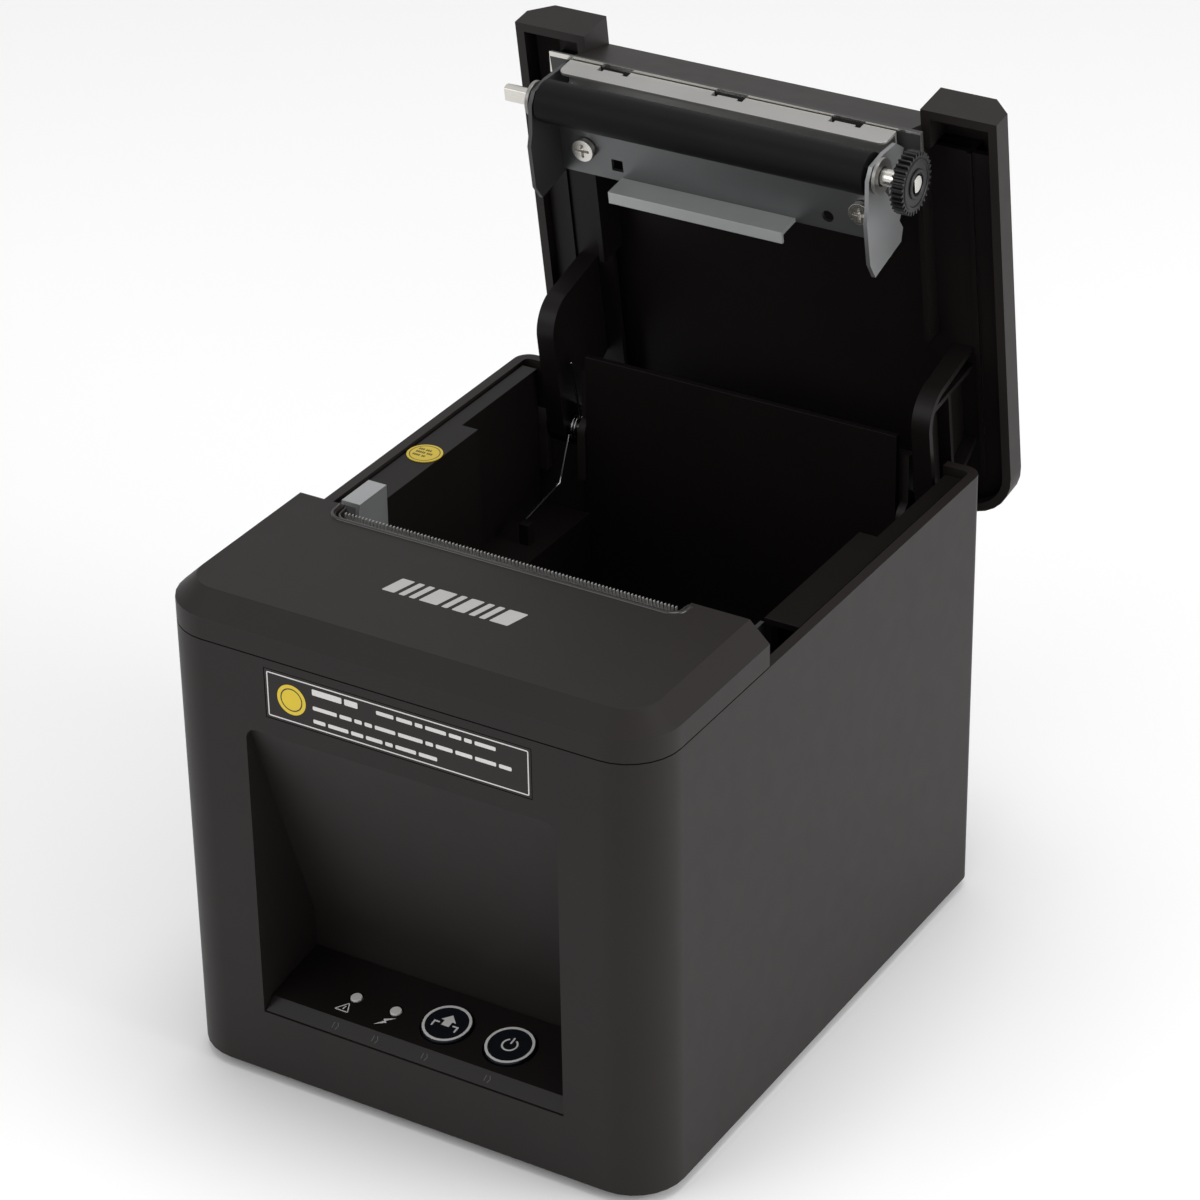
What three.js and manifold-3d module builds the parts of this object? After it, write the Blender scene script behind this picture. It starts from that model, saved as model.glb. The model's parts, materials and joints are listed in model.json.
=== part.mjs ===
// Clamshell receipt printer for 80 mm paper, shown with its lid open.
// Millimetres, +Z up, +Y towards the back, +X to the right seen from the front.
// Everything is laid out from the front face (y = 0) and the table (z = 0); the last lines
// move the whole part so that its origin is under the centre of its footprint.
import * as THREE from "three";
import { mergeVertices } from "three/addons/utils/BufferGeometryUtils.js";
import Module from "manifold-3d";

const wasm = await Module();
wasm.setup();

// ---------------------------------------------------------------- driving dimensions
const WIDTH = 125; // housing, side to side
const DEPTH = 152; // housing, front to back
const HOUSING_TOP = 113.1; // seam between the housing and the two covers
const COVER_BAND = 5.8; // upright band of both covers above the seam
const COVER_HEIGHT = 10.5; // seam to the flat top of both covers
const COVER_CHAMFER = 4.9; // sideways run of the sloped edge
const COVER_DEPTH = 50.1; // front cover, front to back
const LID_OVERHANG = 7; // closed lid behind the housing
const FRONT_RADIUS = 12.5; // upright corners at the front
const REAR_RADIUS = 4;
const LID_REAR_RADIUS = 12.5;
const HOUSING_WALL = 2.5;
const COVER_WALL = 2.2;
const GAP = 0.3; // clearance between pieces that don't touch
const UNDERSIDE = 2.5; // table to the base plate
const BASE_PLATE = 2.4;

const WINDOW_HALF = 39.5; // control recess in the front face
const WINDOW_BOTTOM = 18.8;
const WINDOW_TOP = HOUSING_TOP - 19;
const WINDOW_RADIUS = 2.7;
const RECESS_DEPTH = 21.5;
const RECESS_STEP = 34.4; // height where the sloped back meets the upright step
const RECESS_WALL = 2;

const SHELF_FRONT_Y = 3.1; // control shelf: its front edge, and how it leans
const SHELF_FRONT_Z = 21.6;
const SHELF_TILT = 9;
const SHELF_SHEET = 1.6;
const BUTTON_RADIUS = 6;
const BUTTON_PROUD = 0.7;
const BUTTON_TRAVEL = 0.6;
const BUTTON_Y = 8.2; // up the shelf from its front edge
const FEED_BUTTON_X = 2.5;
const POWER_BUTTON_X = 19;
const LIGHT_Y = 7.3;
const LIGHT_RADIUS = 1.4;
const ERROR_LIGHT_X = -21.2;
const POWER_LIGHT_X = -10.6;

const LABEL_HALF = 33.6;
const LABEL_TOP = HOUSING_TOP - 2.2;
const LABEL_BOTTOM = LABEL_TOP - 12.2;
const LABEL_THICK = 0.25;

const BAY_RADIUS = 40.5; // paper bay: takes a roll 80 mm across
const BAY_HALF = 41.5;
const BAY_WALL = 1.6;
const BAY_AXIS_Y = DEPTH - HOUSING_WALL - 0.4 - BAY_WALL - BAY_RADIUS;
const BAY_AXIS_Z = HOUSING_TOP - 50.6;
const BAY_SHELF = HOUSING_TOP - 37.1; // above this height the bay is wider
const BAY_UPPER_HALF = 50.7;
const BAY_REAR_TOP = HOUSING_TOP + 5.5;
const BAY_FRONT_TOP = HOUSING_TOP - 33.1;
const PEG_TOP = BAY_SHELF + 5.5; // peg under the lid spring's lower leg
const BAY_LEDGE_LEFT_Y = 64;
const BAY_LEDGE_RIGHT_Y = 69;

const HINGE_Y = DEPTH - 1;
const HINGE_Z = HOUSING_TOP - 16.1;
const OPEN_ANGLE = 81.5;
const HINGE_PIN_RADIUS = 1.5;
const KNUCKLE_RADIUS = 3.8;
const ARM_IN = 48; // hinge arm, from and to, either side
const ARM_OUT = 52.7;
const ARM_SHEET = 1.5;
const ARM_ROOM = 2.5; // bay wall to the outer side of the arm
const LUG_IN = 42.4; // housing lugs that hold the pin: inboard of the arm
const LUG_IN_END = 44.4;
const LUG_OUT = 53.2; // and outboard of it
const LUG_OUT_END = 57;
const LUG_RADIUS = 4;
const HOOD_RADIUS = KNUCKLE_RADIUS + GAP; // cover behind the hinge
const HOOD_WALL = 1.2;
const HOOD_SKIRT = 7;
const HOOD_LOW = THREE.MathUtils.degToRad(60);
const HOOD_HIGH = THREE.MathUtils.degToRad(60);
const HOOD_BEHIND_ARM = THREE.MathUtils.degToRad(4);

const PLATEN_Y = 55.4; // platen axis with the lid closed
const PLATEN_Z = HOUSING_TOP - 20.8;
const PLATEN_RADIUS = 5;
const PLATEN_HALF = 42.2;
const SHAFT_RADIUS = 2;
const SHAFT_LEFT = -52.3;
const SHAFT_RIGHT = 53.6;
const EAR_IN = 42.9; // steel ears that carry the platen
const EAR_SHEET = 1;
const PLATE_IN = 48.6; // steel side plates of the mechanism
const PLATE_SHEET = 1;
const GEAR_X = 50.3; // feed gears, from and to
const GEAR_WIDTH = 3;
const BLADE_EDGE_Y = COVER_DEPTH + 0.8; // fixed blade's edge with the lid closed
const BLADE_Z = HOUSING_TOP - 8.1; // fixed blade's underside with the lid closed
const BLADE_THICK = 1;

const FEED_MODULE = 0.4265;
const PLATEN_TEETH = 32;
const DRIVE_TEETH = 24;
const IDLER_TEETH = 36;
const FEED_PINION_TEETH = 12;
const FEED_LEAN = 255; // direction from each feed gear's axis to the next, in degrees
const CUTTER_MODULE = 0.5;
const RESET_TEETH = 40;
const RACK_PINION_TEETH = 16;
const CUTTER_PINION_TEETH = 12;
const CUTTER_LEAN = 200;
const RESET_Y = 26;
const RACK_PITCH_Z = BLADE_Z + 0.3;
const MESH_SLACK = 0.12; // added to each distance between meshed gears

// ---------------------------------------------------------------- materials
const plastic = (color, roughness) =>
  new THREE.MeshStandardMaterial({ color, roughness, metalness: 0 });
const metal = (color, roughness) =>
  new THREE.MeshStandardMaterial({ color, roughness, metalness: 1 });
const CHARCOAL = 0x3a3635;
const INNER_BLACK = 0x171413;
const STEEL = 0xb4b8ba;

// ---------------------------------------------------------------- solids
// A closed three.js geometry as a solid that can be joined and cut.
function solid(geometry) {
  const bare = geometry.index ? geometry.toNonIndexed() : geometry.clone();
  bare.deleteAttribute("normal");
  bare.deleteAttribute("uv");
  const merged = mergeVertices(bare, 1e-4);
  return new wasm.Manifold(
    new wasm.Mesh({
      numProp: 3,
      vertProperties: new Float32Array(merged.attributes.position.array),
      triVerts: new Uint32Array(merged.index.array),
    }),
  );
}

const join = (first, ...rest) => rest.reduce((all, piece) => all.add(piece), first);
const cut = (first, ...rest) => rest.reduce((left, piece) => left.subtract(piece), first);

// A box between two limits on each axis, given in either order.
function box(x0, x1, y0, y1, z0, z1) {
  const size = [x1 - x0, y1 - y0, z1 - z0].map(Math.abs);
  const geometry = new THREE.BoxGeometry(...size);
  geometry.translate((x0 + x1) / 2, (y0 + y1) / 2, (z0 + z1) / 2);
  return solid(geometry);
}

// Cylinders along X, Y and Z.
function rodX(x0, x1, y, z, radius, sides = 24) {
  const geometry = new THREE.CylinderGeometry(radius, radius, Math.abs(x1 - x0), sides);
  geometry.rotateZ(Math.PI / 2);
  geometry.translate((x0 + x1) / 2, y, z);
  return solid(geometry);
}

function rodY(y0, y1, x, z, radius, sides = 24) {
  const geometry = new THREE.CylinderGeometry(radius, radius, Math.abs(y1 - y0), sides);
  geometry.translate(x, (y0 + y1) / 2, z);
  return solid(geometry);
}

function rodZ(z0, z1, x, y, radius, sides = 24) {
  const geometry = new THREE.CylinderGeometry(radius, radius, Math.abs(z1 - z0), sides);
  geometry.rotateX(Math.PI / 2);
  geometry.translate(x, y, (z0 + z1) / 2);
  return solid(geometry);
}

// An outline given as [u, v] pairs, made into a shape.
const outline = (points) => new THREE.Shape(points.map(([u, v]) => new THREE.Vector2(u, v)));

// A (y, z) shape extruded along X, between two limits given in either order.
function prismX(shape, x0, x1, curveSegments = 8) {
  const depth = Math.abs(x1 - x0);
  const geometry = new THREE.ExtrudeGeometry(shape, { depth, bevelEnabled: false, curveSegments });
  const turn = new THREE.Matrix4().makeBasis(
    new THREE.Vector3(0, 1, 0),
    new THREE.Vector3(0, 0, 1),
    new THREE.Vector3(1, 0, 0),
  );
  geometry.applyMatrix4(turn);
  geometry.translate(Math.min(x0, x1), 0, 0);
  return solid(geometry);
}

// An (x, y) shape extruded along Z.
function prismZ(shape, z0, z1, curveSegments = 8) {
  const geometry = new THREE.ExtrudeGeometry(shape, {
    depth: z1 - z0,
    bevelEnabled: false,
    curveSegments,
  });
  geometry.translate(0, 0, z0);
  return solid(geometry);
}

// An (x, z) shape extruded along Y.
function prismY(shape, y0, y1) {
  const geometry = new THREE.ExtrudeGeometry(shape, { depth: y1 - y0, bevelEnabled: false });
  geometry.rotateX(Math.PI / 2);
  geometry.translate(0, y1, 0);
  return solid(geometry);
}

// Points of a rectangle with its own radius at each corner: front left, front right,
// rear right, rear left. Every such ring has the same number of points.
function ring(x0, x1, y0, y1, radii, steps = 7) {
  const corners = [
    [x0, y0, 1, 1, 180],
    [x1, y0, -1, 1, 270],
    [x1, y1, -1, -1, 0],
    [x0, y1, 1, -1, 90],
  ];
  return corners.flatMap(([x, y, inX, inY, start], corner) => {
    const radius = Math.max(radii[corner], 0.05);
    return Array.from({ length: steps + 1 }, (_, step) => {
      const angle = THREE.MathUtils.degToRad(start + (90 * step) / steps);
      const u = x + inX * radius + radius * Math.cos(angle);
      const v = y + inY * radius + radius * Math.sin(angle);
      return new THREE.Vector2(u, v);
    });
  });
}

// A solid through a stack of rings, each given with its height, lowest first.
function loft(layers) {
  const count = layers[0].points.length;
  const position = [];
  const index = [];
  for (const { points, z } of layers) {
    for (const point of points) position.push(point.x, point.y, z);
  }
  for (let layer = 0; layer + 1 < layers.length; layer++) {
    for (let i = 0; i < count; i++) {
      const a = layer * count + i;
      const b = layer * count + ((i + 1) % count);
      index.push(a, b, b + count, a, b + count, a + count);
    }
  }
  const last = (layers.length - 1) * count;
  for (const [a, b, c] of THREE.ShapeUtils.triangulateShape(layers[0].points, [])) {
    index.push(a, c, b);
    index.push(last + a, last + b, last + c);
  }
  const geometry = new THREE.BufferGeometry();
  geometry.setAttribute("position", new THREE.Float32BufferAttribute(position, 3));
  geometry.setIndex(index);
  return solid(geometry);
}

const block = (points, z0, z1) =>
  loft([
    { points, z: z0 },
    { points, z: z1 },
  ]);

// A round wire or rod along a curve.
function wire(curve, radius, steps, sides = 6) {
  const section = new THREE.Shape(
    Array.from({ length: sides }, (_, i) => {
      const angle = (2 * Math.PI * i) / sides;
      return new THREE.Vector2(radius * Math.cos(angle), radius * Math.sin(angle));
    }),
  );
  return solid(new THREE.ExtrudeGeometry(section, { steps, extrudePath: curve, bevelEnabled: false }));
}

function mesh(name, body, material) {
  const raw = body.getMesh();
  const geometry = new THREE.BufferGeometry();
  geometry.setAttribute("position", new THREE.BufferAttribute(raw.vertProperties, 3));
  geometry.setIndex(new THREE.BufferAttribute(raw.triVerts, 1));
  geometry.computeVertexNormals();
  const made = new THREE.Mesh(geometry, material);
  made.name = name;
  return made;
}

// ---------------------------------------------------------------- shared outlines
const HALF = WIDTH / 2;
const COVER_BOTTOM = HOUSING_TOP + GAP;
const BAND_TOP = HOUSING_TOP + COVER_BAND;
const COVER_TOP = HOUSING_TOP + COVER_HEIGHT;
const LID_FRONT = COVER_DEPTH + GAP;
const LID_REAR = DEPTH + LID_OVERHANG;

// Housing outline, taken in by an inset on all four sides.
const housingRing = (inset) =>
  ring(-HALF + inset, HALF - inset, inset, DEPTH - inset, [
    FRONT_RADIUS - inset,
    FRONT_RADIUS - inset,
    REAR_RADIUS - inset,
    REAR_RADIUS - inset,
  ]);

// Front cover outline: inset at the front and sides, and separately at the back.
const coverRing = (inset, back) =>
  ring(-HALF + inset, HALF - inset, inset, COVER_DEPTH - back, [
    FRONT_RADIUS - inset,
    FRONT_RADIUS - inset,
    0,
    0,
  ]);

// Lid outline: inset at the sides and back, and separately at the front.
const lidRing = (inset, front) =>
  ring(-HALF + inset, HALF - inset, LID_FRONT + front, LID_REAR - inset, [
    0,
    0,
    LID_REAR_RADIUS - inset,
    LID_REAR_RADIUS - inset,
  ]);

// ---------------------------------------------------------------- gears
const pitchRadius = (module, teeth) => (module * teeth) / 2;
const meshDistance = (module, a, b) => (module * (a + b)) / 2 + MESH_SLACK;

// Outline of a spur gear about the origin, with a tooth centred on the phase angle.
function gearShape(module, teeth, phase) {
  const pitch = (2 * Math.PI) / teeth;
  const root = pitchRadius(module, teeth) - 1.2 * module;
  const tip = pitchRadius(module, teeth) + 0.95 * module;
  const points = [];
  for (let tooth = 0; tooth < teeth; tooth++) {
    const middle = phase + tooth * pitch;
    for (const [radius, share] of [[root, -0.3], [tip, -0.12], [tip, 0.12], [root, 0.3]]) {
      const angle = middle + share * pitch;
      points.push([radius * Math.cos(angle), radius * Math.sin(angle)]);
    }
  }
  return points;
}

function gear(module, teeth, phase, y, z, x0, x1) {
  const points = gearShape(module, teeth, phase).map(([u, v]) => [y + u, z + v]);
  return prismX(outline(points), x0, x1);
}

// Phase of a gear that meshes with another gear lying in the given direction from it.
const meshedPhase = (phase, teeth, otherTeeth, direction) =>
  direction + Math.PI - ((phase - direction) * teeth) / otherTeeth + Math.PI / otherTeeth;

// The point at a distance and direction from another, in the (y, z) plane.
const away = ([y, z], distance, angle) => [
  y + distance * Math.cos(angle),
  z + distance * Math.sin(angle),
];

// ---------------------------------------------------------------- housing
const PORTS = {
  dc_jack: { x: -38, wide: 12, high: 11.5, deep: 16, hole: [8.4, 8.4] },
  usb_port: { x: -15, wide: 12, high: 11, deep: 17, hole: [8.6, 7.6] },
  lan_port: { x: 9, wide: 16, high: 13.6, deep: 21, hole: [12, 8.6] },
  drawer_port: { x: 35, wide: 13.4, high: 13, deep: 18, hole: [10, 7.4] },
};
const BOARD_TOP = 11;
const BOARD_REAR = DEPTH - HOUSING_WALL - 1.5;
const BOARD_DEPTH = 84;
const BOARD_HALF = 49.8;
const PORT_FLUSH = 0.3; // port faces stand back from the rear face
const BOSS_X = WIDTH / 2 - 8.5;
const BOSS_YS = [24, DEPTH - 20];
const BOSS_RADIUS = 3.5;
const LEDGE_TOP = HOUSING_TOP - 0.6; // ledges of the bay, just below the housing's rim
const LEDGE_BOTTOM = LEDGE_TOP - 1.6;

function recessWalls() {
  const top = WINDOW_TOP + RECESS_WALL;
  const back = RECESS_DEPTH + RECESS_WALL;
  const skin = outline([
    [HOUSING_WALL / 2, WINDOW_BOTTOM - 8],
    [back, WINDOW_BOTTOM - 8],
    [back, RECESS_STEP + RECESS_WALL / 2],
    [RECESS_WALL + 0.9, top],
    [HOUSING_WALL / 2, top],
  ]);
  return prismX(skin, -WINDOW_HALF - RECESS_WALL, WINDOW_HALF + RECESS_WALL);
}

function recessHollow() {
  const space = outline([
    [-1, WINDOW_BOTTOM],
    [HOUSING_WALL + 0.2, WINDOW_BOTTOM],
    [HOUSING_WALL + 0.2, WINDOW_BOTTOM - 9],
    [RECESS_DEPTH, WINDOW_BOTTOM - 9],
    [RECESS_DEPTH, RECESS_STEP],
    [0.9, WINDOW_TOP],
    [-1, WINDOW_TOP],
  ]);
  return prismX(space, -WINDOW_HALF, WINDOW_HALF).subtract(windowCorners());
}

// What the window's two round upper corners leave standing in the front wall.
function windowCorners() {
  const radius = WINDOW_RADIUS;
  return join(
    ...[-1, 1].map((side) =>
      box(side * (WINDOW_HALF - radius), side * (WINDOW_HALF + 1), -2, HOUSING_WALL + 0.2,
        WINDOW_TOP - radius, WINDOW_TOP + 1).subtract(
        rodY(-3, HOUSING_WALL + 1, side * (WINDOW_HALF - radius), WINDOW_TOP - radius, radius, 32),
      ),
    ),
  );
}

const hingeLug = (side, from, to) =>
  join(
    rodX(side * from, side * to, HINGE_Y, HINGE_Z, LUG_RADIUS),
    box(side * from, side * to, HINGE_Y - LUG_RADIUS, DEPTH - 0.5, HINGE_Z - 12, HINGE_Z),
  );

// Cover behind the hinge: a curved strip round its axis, up to the given angle.
function hoodStrip(from, to, top) {
  const shape = new THREE.Shape();
  shape.absarc(HINGE_Y, HINGE_Z, HOOD_RADIUS + HOOD_WALL, -HOOD_LOW, top, false);
  shape.absarc(HINGE_Y, HINGE_Z, HOOD_RADIUS, top, -HOOD_LOW, true);
  return prismX(shape, from, to, 16);
}

// The strip stands high beside the arm and low behind it, on a skirt along the rear wall.
function hingeHood(side) {
  const low = HINGE_Z - (HOOD_RADIUS + HOOD_WALL) * Math.sin(HOOD_LOW);
  const back = HINGE_Y + HOOD_RADIUS * Math.cos(HOOD_LOW);
  const beside = side * (ARM_IN - GAP);
  const outer = side * LUG_OUT_END;
  return join(
    hoodStrip(side * LUG_IN, beside, HOOD_HIGH),
    hoodStrip(beside, outer, HOOD_BEHIND_ARM),
    box(side * LUG_IN, outer, back, back + HOOD_WALL, low - HOOD_SKIRT, low + 0.5),
    box(side * LUG_IN, outer, DEPTH - 1, back + HOOD_WALL, low - HOOD_SKIRT, low - HOOD_SKIRT + 2),
  );
}

const pinHole = (side) =>
  rodX(side * (LUG_IN - 1), side * (LUG_OUT_END + 0.6), HINGE_Y, HINGE_Z, HINGE_PIN_RADIUS + GAP);

function mainHousing() {
  let shell = cut(
    block(housingRing(0), UNDERSIDE, HOUSING_TOP),
    block(housingRing(HOUSING_WALL), UNDERSIDE - 1, HOUSING_TOP + 1),
  );
  shell = cut(join(shell, recessWalls()), recessHollow());
  shell = cut(
    shell,
    box(-LABEL_HALF - 0.2, LABEL_HALF + 0.2, -1, 0.3, LABEL_BOTTOM - 0.2, LABEL_TOP + 0.2),
  );
  for (const side of [-1, 1]) {
    const notch = box(side * LUG_IN_END, side * LUG_OUT, HINGE_Y - 5, DEPTH + 1, HINGE_Z - LUG_RADIUS - GAP,
      HOUSING_TOP + 1);
    shell = cut(shell, notch);
    shell = join(shell, hingeLug(side, LUG_IN, LUG_IN_END), hingeLug(side, LUG_OUT, LUG_OUT_END));
    shell = cut(join(shell, hingeHood(side)), pinHole(side));
    for (const y of [80, DEPTH - 22]) {
      const rib = box(side * (HALF - 5), side * (HALF - 1), y, y + 3, HOUSING_TOP - 9, LEDGE_BOTTOM - GAP);
      shell = join(shell, rib);
    }
    for (const y of BOSS_YS) {
      const boss = join(
        rodZ(5.3, 26, side * BOSS_X, y, BOSS_RADIUS),
        box(side * BOSS_X, side * (HALF - 1), y - 1, y + 1, 9, 26),
      );
      shell = join(shell, boss);
      shell = cut(shell, rodZ(4, 20, side * BOSS_X, y, 1.7, 16));
    }
  }
  for (const port of Object.values(PORTS)) {
    const half = port.wide / 2 + GAP;
    const top = BOARD_TOP + port.high + 2 * GAP;
    const opening = box(port.x - half, port.x + half, DEPTH - HOUSING_WALL - 1, DEPTH + 1, BOARD_TOP, top);
    shell = cut(shell, opening);
  }
  return shell;
}

// ---------------------------------------------------------------- base
const FOOT_RADIUS = 6;
const FOOT_XS = [12.5 - WIDTH / 2, WIDTH / 2 - 12.5];
const FOOT_YS = [14, DEPTH - 10];
const FRAME_BOTTOM = PLATEN_Z - 47.3;
const PEDESTAL_TOP = FRAME_BOTTOM - GAP; // the mechanism stands on the base plate's two pedestals

function bottomCover() {
  const top = UNDERSIDE + BASE_PLATE;
  const inset = HOUSING_WALL + GAP;
  let plate = block(housingRing(inset), UNDERSIDE, top);
  const lip = cut(
    block(housingRing(inset), top - 0.5, top + 3),
    block(housingRing(inset + 1.5), top - 1, top + 4),
  );
  plate = join(plate, lip);
  for (const side of [-1, 1]) {
    const pedestal = cut(
      box(side * (PLATE_IN - 1), side * (PLATE_IN + 4), 38, 62, top - 0.5, PEDESTAL_TOP),
      box(side * (PLATE_IN + 0.5), side * (PLATE_IN + 5), 39.5, 60.5, top + 2, PEDESTAL_TOP - 1.5),
    );
    plate = join(plate, pedestal);
    for (const y of BOSS_YS) {
      plate = cut(
        plate,
        rodZ(UNDERSIDE - 1, UNDERSIDE + 1.4, side * BOSS_X, y, 3.3),
        rodZ(UNDERSIDE, top + 5, side * BOSS_X, y, 1.7, 16),
        cut(
          rodZ(top, top + 5, side * BOSS_X, y, BOSS_RADIUS + GAP + 2),
          rodZ(top, top + 5, side * BOSS_X, y, 1, 16),
        ),
      );
    }
    for (const y of [BOARD_REAR - BOARD_DEPTH + 6, BOARD_REAR - 10]) {
      plate = join(plate, rodZ(top - 0.5, BOARD_TOP - 1.9, side * 46, y, 3));
    }
  }
  for (const x of FOOT_XS) {
    for (const y of FOOT_YS) {
      plate = cut(plate, rodZ(UNDERSIDE - 1, UNDERSIDE + 0.9, x, y, FOOT_RADIUS + GAP));
    }
  }
  return plate;
}

const rubberFoot = (x, y) =>
  join(
    rodZ(0.8, UNDERSIDE + 0.6, x, y, FOOT_RADIUS),
    rodZ(0, 0.8, x, y, FOOT_RADIUS - 0.8),
  );

function baseScrew(x, y) {
  const head = rodZ(UNDERSIDE - 0.2, UNDERSIDE + 1.1, x, y, 2.9);
  const shank = rodZ(UNDERSIDE + 1, 15, x, y, 1.35, 12);
  const cross = [
    box(x - 1.7, x + 1.7, y - 0.35, y + 0.35, 0, UNDERSIDE + 0.6),
    box(x - 0.35, x + 0.35, y - 1.7, y + 1.7, 0, UNDERSIDE + 0.6),
  ];
  return cut(join(head, shank), ...cross);
}

// ---------------------------------------------------------------- controls
// The shelf's own frame: x across, y up the slope from its front edge, z out of its face.
const shelfGroup = new THREE.Group();
shelfGroup.position.set(0, SHELF_FRONT_Y, SHELF_FRONT_Z);
shelfGroup.rotation.x = THREE.MathUtils.degToRad(SHELF_TILT);
const PANEL_HALF = WINDOW_HALF - GAP;
const BOARD_Z = -8; // button board's upper face, under the shelf

function controlPanel() {
  const tilt = THREE.MathUtils.degToRad(SHELF_TILT);
  const rise = (y) => SHELF_FRONT_Z + (y - SHELF_FRONT_Y) * Math.tan(tilt);
  const back = RECESS_DEPTH - GAP;
  const lipFoot = WINDOW_BOTTOM + GAP;
  const section = outline([
    [0.3, lipFoot],
    [2.9, lipFoot],
    [SHELF_FRONT_Y + 0.6, rise(SHELF_FRONT_Y) - SHELF_SHEET],
    [back, rise(back) - SHELF_SHEET],
    [back, rise(back)],
    [SHELF_FRONT_Y, SHELF_FRONT_Z],
  ]);
  return prismX(section, -PANEL_HALF, PANEL_HALF);
}

// A rod square to the shelf, as a solid in the housing's frame.
function shelfRod(x, y, z0, z1, radius) {
  const geometry = new THREE.CylinderGeometry(radius, radius, z1 - z0, 32);
  geometry.rotateX(Math.PI / 2);
  geometry.translate(x, y, (z0 + z1) / 2);
  shelfGroup.updateMatrix();
  geometry.applyMatrix4(shelfGroup.matrix);
  return solid(geometry);
}

function panelWithHoles() {
  return cut(
    controlPanel(),
    shelfRod(FEED_BUTTON_X, BUTTON_Y, -4, 4, BUTTON_RADIUS + GAP),
    shelfRod(POWER_BUTTON_X, BUTTON_Y, -4, 4, BUTTON_RADIUS + GAP),
    shelfRod(ERROR_LIGHT_X, LIGHT_Y, -4, 4, LIGHT_RADIUS + GAP),
    shelfRod(POWER_LIGHT_X, LIGHT_Y, -4, 4, LIGHT_RADIUS + GAP),
  );
}

function pushButton(x) {
  const under = -SHELF_SHEET - GAP;
  return join(
    rodZ(under - 1, BUTTON_PROUD, x, BUTTON_Y, BUTTON_RADIUS, 32),
    rodZ(under - 1, under, x, BUTTON_Y, BUTTON_RADIUS + 1.1, 32),
    rodZ(BOARD_Z + 1.7 + BUTTON_TRAVEL + GAP, under, x, BUTTON_Y, 1.5, 12),
  );
}

const lightPipe = (x) => rodZ(BOARD_Z + GAP, 0.25, x, LIGHT_Y, LIGHT_RADIUS);

function buttonBoard() {
  const board = box(-27, 27, 2, 15, BOARD_Z - 1.6, BOARD_Z);
  const switches = [FEED_BUTTON_X, POWER_BUTTON_X].map((x) =>
    box(x - 3, x + 3, BUTTON_Y - 3, BUTTON_Y + 3, BOARD_Z - 0.5, BOARD_Z + 1.7),
  );
  return join(board, ...switches);
}

// ---------------------------------------------------------------- front cover
const EXIT_LEFT = -45.7; // bay in the cover's back edge, where the paper comes out
const EXIT_RIGHT = 43.3;
const EXIT_FRONT = 44.3;
const EXIT_STEP = 0.9;
const EXIT_RADIUS = 3.2;
const TEAR_TEETH = 94;
const TEAR_EDGE = 47.7;
const TEAR_SHEET = 0.7;
const TEAR_TOP = COVER_TOP - 0.2;
const TEAR_TOOTH = 1.9;

const exitRing = (inset) =>
  ring(EXIT_LEFT + inset, EXIT_RIGHT - inset, EXIT_FRONT + inset, COVER_DEPTH + 2, [
    EXIT_RADIUS - inset / 2,
    EXIT_RADIUS - inset / 2,
    0,
    0,
  ]);

function frontCover() {
  const inside = COVER_TOP - COVER_WALL;
  const outer = loft([
    { points: coverRing(0, 0), z: COVER_BOTTOM },
    { points: coverRing(0, 0), z: BAND_TOP },
    { points: coverRing(COVER_CHAMFER, 0), z: COVER_TOP },
  ]);
  const hollow = loft([
    { points: coverRing(COVER_WALL, COVER_WALL), z: COVER_BOTTOM - 1 },
    { points: coverRing(COVER_WALL, COVER_WALL), z: BAND_TOP - 0.6 },
    { points: coverRing(COVER_WALL + COVER_CHAMFER - 0.6, COVER_WALL), z: inside },
  ]);
  const lipInset = HOUSING_WALL + GAP;
  const lip = cut(
    block(coverRing(lipInset, 6), HOUSING_TOP - 2, COVER_BOTTOM + 2.4),
    block(coverRing(lipInset + 1.2, 5), HOUSING_TOP - 3, COVER_BOTTOM + 3),
  );
  const tie = cut(
    block(coverRing(COVER_WALL - 0.4, 6), COVER_BOTTOM + 1, COVER_BOTTOM + 2.4),
    block(coverRing(lipInset + 1.2, 5), COVER_BOTTOM, COVER_BOTTOM + 3),
  );
  const shell = join(cut(outer, hollow), cut(join(lip, tie), box(-HALF, HALF, 44, 60, 100, 130)));
  const gearRoom = box(GEAR_X - 0.8, GEAR_X + GEAR_WIDTH + 0.8, COVER_DEPTH - COVER_WALL - 1,
    COVER_DEPTH + 1, COVER_BOTTOM - 1, COVER_BOTTOM + 5);
  return cut(
    shell,
    gearRoom,
    block(exitRing(0), COVER_TOP - 1.1, COVER_TOP + 1),
    block(exitRing(EXIT_STEP), COVER_BOTTOM - 1, COVER_TOP + 1),
  );
}

// A strip under the cover's ceiling, turned up at its rear edge into a row of teeth.
function tearBar() {
  const left = EXIT_LEFT + 1.7;
  const right = EXIT_RIGHT - 1.7;
  const pitch = (right - left) / TEAR_TEETH;
  const top = COVER_TOP - COVER_WALL - GAP;
  const root = COVER_TOP - TEAR_TOOTH;
  const low = top - TEAR_SHEET;
  const points = [
    [left, low],
    [right, low],
  ];
  for (let tooth = TEAR_TEETH - 1; tooth >= 0; tooth--) {
    const edge = left + tooth * pitch;
    points.push([edge + pitch, root], [edge + 0.76 * pitch, root]);
    points.push([edge + 0.62 * pitch, TEAR_TOP], [edge + 0.38 * pitch, TEAR_TOP]);
    points.push([edge + 0.24 * pitch, root]);
  }
  points.push([left, root]);
  return join(
    prismY(outline(points), TEAR_EDGE - TEAR_SHEET, TEAR_EDGE),
    box(left, right, EXIT_FRONT - 4, TEAR_EDGE, low, top),
  );
}

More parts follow.
